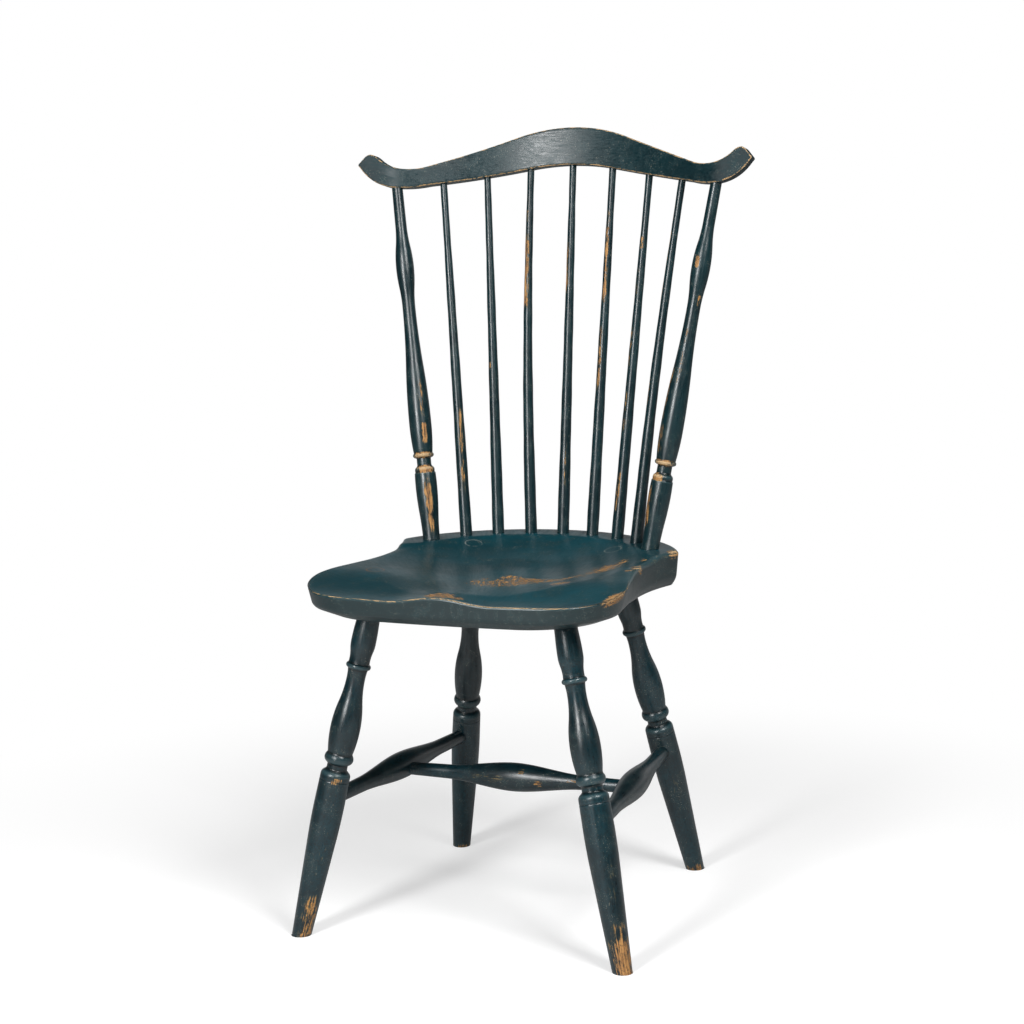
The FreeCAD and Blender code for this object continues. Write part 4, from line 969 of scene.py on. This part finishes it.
def seat_worn(rows, rim_row):
    """How worn the seat is: the most of its oval worn places, on the top and the edge.

    A worn place is even over its inner two fifths and falls to 0 at its outline.
    """
    worn = np.zeros(rows.shape[:2])
    for across, along_seat, long_half, wide_half, turn, amount in SEAT_PATCHES:
        cosine, sine = math.cos(math.radians(turn)), math.sin(math.radians(turn))
        x, y = rows[..., 0] - across, rows[..., 1] - along_seat
        distance = np.hypot((x * cosine + y * sine) / long_half, (y * cosine - x * sine) / wide_half)
        worn = np.maximum(worn, amount * smooth((1 - distance) / 0.6))
    below_rim = rows[rim_row, :, 2] - rows[..., 2]
    worn = worn * (1 - smooth((below_rim - WORN_BELOW_RIM) / WORN_BELOW_FADE))
    in_front = smooth((-rows[rim_row, :, 1] - FRONT_LINE_START) / FRONT_LINE_FADE)
    front_line = bump((np.arange(len(rows)) - rim_row) / FRONT_LINE_ROWS)[:, None] * in_front
    return np.maximum(worn, FRONT_LINE_WORN * front_line)


def seat_piece():
    """The plank: rows from the middle of the top out over the edge and under it to the middle."""
    rim, foot, under = (plank_outline(*plan) for plan in (TOP_PLAN, EDGE_FOOT_PLAN, UNDERSIDE_PLAN))
    outward = np.roll(rim, -1, 0) - np.roll(rim, 1, 0)
    outward = unit(np.column_stack([outward[:, 1], -outward[:, 0]]))
    at_waist = smooth((rim[:, 1] - WAIST_START) / WAIST_START_FADE)
    at_waist = at_waist * smooth((WAIST_END - rim[:, 1]) / WAIST_END_FADE)
    soft = (RIM_ROUNDING + WAIST_ROUNDING * at_waist)[:, None]
    inner = rim - outward * soft
    share = np.concatenate([np.linspace(0.01, 0.85, 90, endpoint=False), np.linspace(0.85, 1.0, 26)])
    plan = ROWS_MIDDLE + (inner - ROWS_MIDDLE) * share[:, None, None]
    top = np.dstack([plan, seat_top(plan[..., 0], plan[..., 1])])
    rim_height = seat_top(inner[:, 0], inner[:, 1])
    # The rim lies on the sloping edge, which runs from the full outline at the deck's height
    fallen = ((SEAT_HEIGHT - rim_height) / EDGE_HEIGHT)[:, None]
    rim = np.column_stack([rim + (foot - rim) * fallen, rim_height])
    foot = np.column_stack([foot, np.full(len(foot), SEAT_HEIGHT - EDGE_HEIGHT)])
    under = np.column_stack([under, np.full(len(under), UNDERSIDE)])
    inward = unit(np.column_stack([-outward, np.zeros(len(rim))]))
    down, bevel = unit(foot - rim), unit(under - foot)
    edge_rows = rounded(rim, inward, down, soft, 9)
    foot_rows = rounded(foot, -down, bevel, EDGE_FOOT_ROUNDING, 9)
    under_rows = rounded(under, -bevel, inward, UNDERSIDE_ROUNDING, 5)
    low_middle = np.append(ROWS_MIDDLE, UNDERSIDE)
    below = low_middle + (under_rows[-1] - low_middle) * np.linspace(1, 0.01, 16)[1:, None, None]
    rows = np.concatenate([top, edge_rows[1:], rows_across(edge_rows[-1], foot_rows[0], 15), foot_rows,
                           rows_across(foot_rows[-1], under_rows[0], 5), under_rows, below])
    # Sharpest in the middle of the rounded rim, where it is worn most and painted paler as a highlight, and
    # painted shade on the side and underside from just below that
    first = len(top)
    edge = np.zeros(rows.shape[:2])
    edge[first - 6:first + 10] = bump(np.linspace(-1, 1, 16))[:, None]
    side_shade = np.zeros(rows.shape[:2])
    side_shade[first + 4:] = 1.0
    from_fan = rows[..., :2] - FAN_CENTRE
    turn = np.arctan2(from_fan[..., 0], from_fan[..., 1])
    wood = np.dstack([turn * FAN_REACH, rows[..., 2], np.hypot(from_fan[..., 0], from_fan[..., 1])])
    facts = {"wood": wood + SEAT_NOISE_SHIFT, "edge": edge, "worn": seat_worn(rows, first + 2),
             "side": side_shade}
    return shell("seat_saddled", rows + np.array([0, LINE_SHIFT, 0]), SEAT_PAINT, facts)


# The paint of the seat covers the wedged ends of the legs
stand_for(seat_piece(), "aged_paint", "seat", "leg_wedge_front_left", "leg_wedge_front_right",
          "leg_wedge_back_left", "leg_wedge_back_right")


# Pins and wedges that show their end grain, a hair proud of the wood round them

PROUD = 0.0003


def end_grain(node, way):
    """The node's own shape, moved a hair the way it was driven."""
    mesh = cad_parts[node].data
    places = np.zeros(len(mesh.vertices) * 3, np.float32)
    mesh.vertices.foreach_get("co", places)
    places = places.reshape(-1, 3) + np.asarray(way) * PROUD
    corners = np.zeros(len(mesh.loops), np.int32)
    mesh.loops.foreach_get("vertex_index", corners)
    return skin(node + "_end", places, np.zeros((0, 4), int), corners.reshape(-1, 3), WOOD,
                {"wood": places})


for side, sign in SIDES:
    for node, way in (("crest_peg_" + side, (0.0, math.cos(LEAN), -math.sin(LEAN))),
                      ("post_wedge_" + side, (0.0, 0.0, -1.0))):
        stand_for(end_grain(node, way), "bare_wood", node)


# Floor, lights, camera

FLOOR_HALF_WIDTH = 30.0
FLOOR_COLOUR = (0.60, 0.60, 0.60, 1.0)
FLOOR_LIFT = 0.46
FLOOR_SHADOW_REACH = 0.40
FLOOR_WHITE_REACH = 1.1
# The room's light on paint, and what gloss mirrors: a backdrop behind the chair, a dim room before it
ROOM_LEVEL = 0.16
DIM_ROOM = 0.03
BACKDROP_LEVEL = 0.6
BACKDROP_FULL, BACKDROP_TOP = 0.16, 0.34


def floor_piece():
    """A plain pale floor that keeps the chair's shadow and passes into white away from it."""
    mesh = bpy.data.meshes.new("floor")
    far = FLOOR_HALF_WIDTH
    mesh.from_pydata([(-far, -far, 0), (far, -far, 0), (far, far, 0), (-far, far, 0)], [], [(0, 1, 2, 3)])
    nodes = Nodes(bpy.data.materials.new("floor"))
    plain = nodes.finish(Base_Color=FLOOR_COLOUR, Roughness=0.9, Specular_IOR_Level=0.0)
    distance = nodes.vector("LENGTH", nodes.add("TexCoord", out=3), out=1)
    away = nodes.ramp(distance, FLOOR_SHADOW_REACH, FLOOR_WHITE_REACH)
    camera_ray = nodes.add("LightPath", out=0)
    lift = nodes.add("Emission", Color=WHITE, Strength=nodes.times(camera_ray, FLOOR_LIFT))
    near = nodes.add("AddShader", _0=plain, _1=lift)
    white = nodes.add("Emission", Color=WHITE, Strength=1.0)
    whole = nodes.add("MixShader", _0=nodes.times(away, camera_ray), _1=near, _2=white)
    nodes.give(nodes.tree.nodes["Material Output"].inputs["Surface"], whole)
    mesh.materials.append(nodes.owner)
    piece = bpy.data.objects.new("floor", mesh)
    bpy.context.scene.collection.objects.link(piece)
    return piece


def studio_world():
    """White where the camera looks, a white backdrop behind the chair and a dim room before it."""
    nodes = Nodes(bpy.data.worlds.new("studio"))
    bpy.context.scene.world = nodes.owner
    toward = nodes.add("TexCoord", out="Generated")
    behind = nodes.ramp(nodes.add("SeparateXYZ", out=1, _0=toward), 0.0, 1.0)
    up = nodes.ramp(nodes.add("SeparateXYZ", out=2, _0=toward), BACKDROP_FULL, BACKDROP_TOP)
    backdrop = nodes.times(nodes.times(behind, nodes.less(1.0, up)), BACKDROP_LEVEL)
    backdrop = nodes.math("MAXIMUM", backdrop, DIM_ROOM)
    mirrored = nodes.math("MAXIMUM", nodes.add("LightPath", out="Is Glossy Ray"),
                          nodes.add("LightPath", out="Is Transmission Ray"))
    open_room = nodes.times(nodes.less(1.0, mirrored), ROOM_LEVEL)
    level = nodes.math("MAXIMUM", nodes.add("LightPath", out="Is Camera Ray"),
                       nodes.plus(nodes.times(mirrored, backdrop), open_room))
    background = nodes.tree.nodes["Background"].inputs
    nodes.give(background["Strength"], level)
    nodes.give(background["Color"], WHITE)


SOFT_BOX_AIM = Vector((0.0, 0.0, 0.45))
SOFT_BOX_DISTANCE = 2.6


def way_round(azimuth, elevation):
    """The direction from the chair to a place round and up from its front, in degrees."""
    turn, climb = math.radians(azimuth), math.radians(elevation)
    return Vector((math.sin(turn) * math.cos(climb), -math.cos(turn) * math.cos(climb), math.sin(climb)))


def soft_box(name, azimuth, elevation, width, height, power):
    """An oblong lamp round the chair, which faces the middle of it."""
    way = way_round(azimuth, elevation)
    lamp = bpy.data.lights.new(name, "AREA")
    lamp.shape = "RECTANGLE"
    lamp.size, lamp.size_y, lamp.energy = width, height, power
    holder = bpy.data.objects.new(name, lamp)
    holder.location = SOFT_BOX_AIM + way * SOFT_BOX_DISTANCE
    holder.rotation_euler = (-way).to_track_quat("-Z", "Y").to_euler()
    bpy.context.scene.collection.objects.link(holder)


floor_piece()
studio_world()
soft_box("left_soft_box", -11, 22, width=0.45, height=1.3, power=58)
soft_box("right_soft_box", 54, 44, width=0.7, height=1.3, power=54)
soft_box("top_soft_box", 0, 80, width=1.6, height=1.6, power=8)

# The camera stands to the right of the chair's front, a little above the seat's level
CAMERA_AIM_HEIGHT = 0.4884
CAMERA_AZIMUTH, CAMERA_ELEVATION = 22.5, 9.05
CAMERA_ROLL = math.radians(-1.434)
CAMERA_DISTANCE = 2.8404
SENSOR_WIDTH, LENS_LENGTH = 36.0, 82.617

backward = way_round(CAMERA_AZIMUTH, CAMERA_ELEVATION)
rightward = Vector((-backward.y, backward.x, 0)).normalized()
upward = backward.cross(rightward)
rolled_right = rightward * math.cos(CAMERA_ROLL) + upward * math.sin(CAMERA_ROLL)
rolled_up = upward * math.cos(CAMERA_ROLL) - rightward * math.sin(CAMERA_ROLL)
lens = bpy.data.cameras.new("camera")
lens.sensor_width = SENSOR_WIDTH
lens.lens = LENS_LENGTH
camera = bpy.data.objects.new("camera", lens)
camera.matrix_world = Matrix((rolled_right, rolled_up, backward)).transposed().to_4x4()
camera.location = Vector((0, LINE_SHIFT, CAMERA_AIM_HEIGHT)) + backward * CAMERA_DISTANCE
bpy.context.scene.collection.objects.link(camera)
bpy.context.scene.camera = camera
bpy.context.scene.view_settings.view_transform = "Standard"
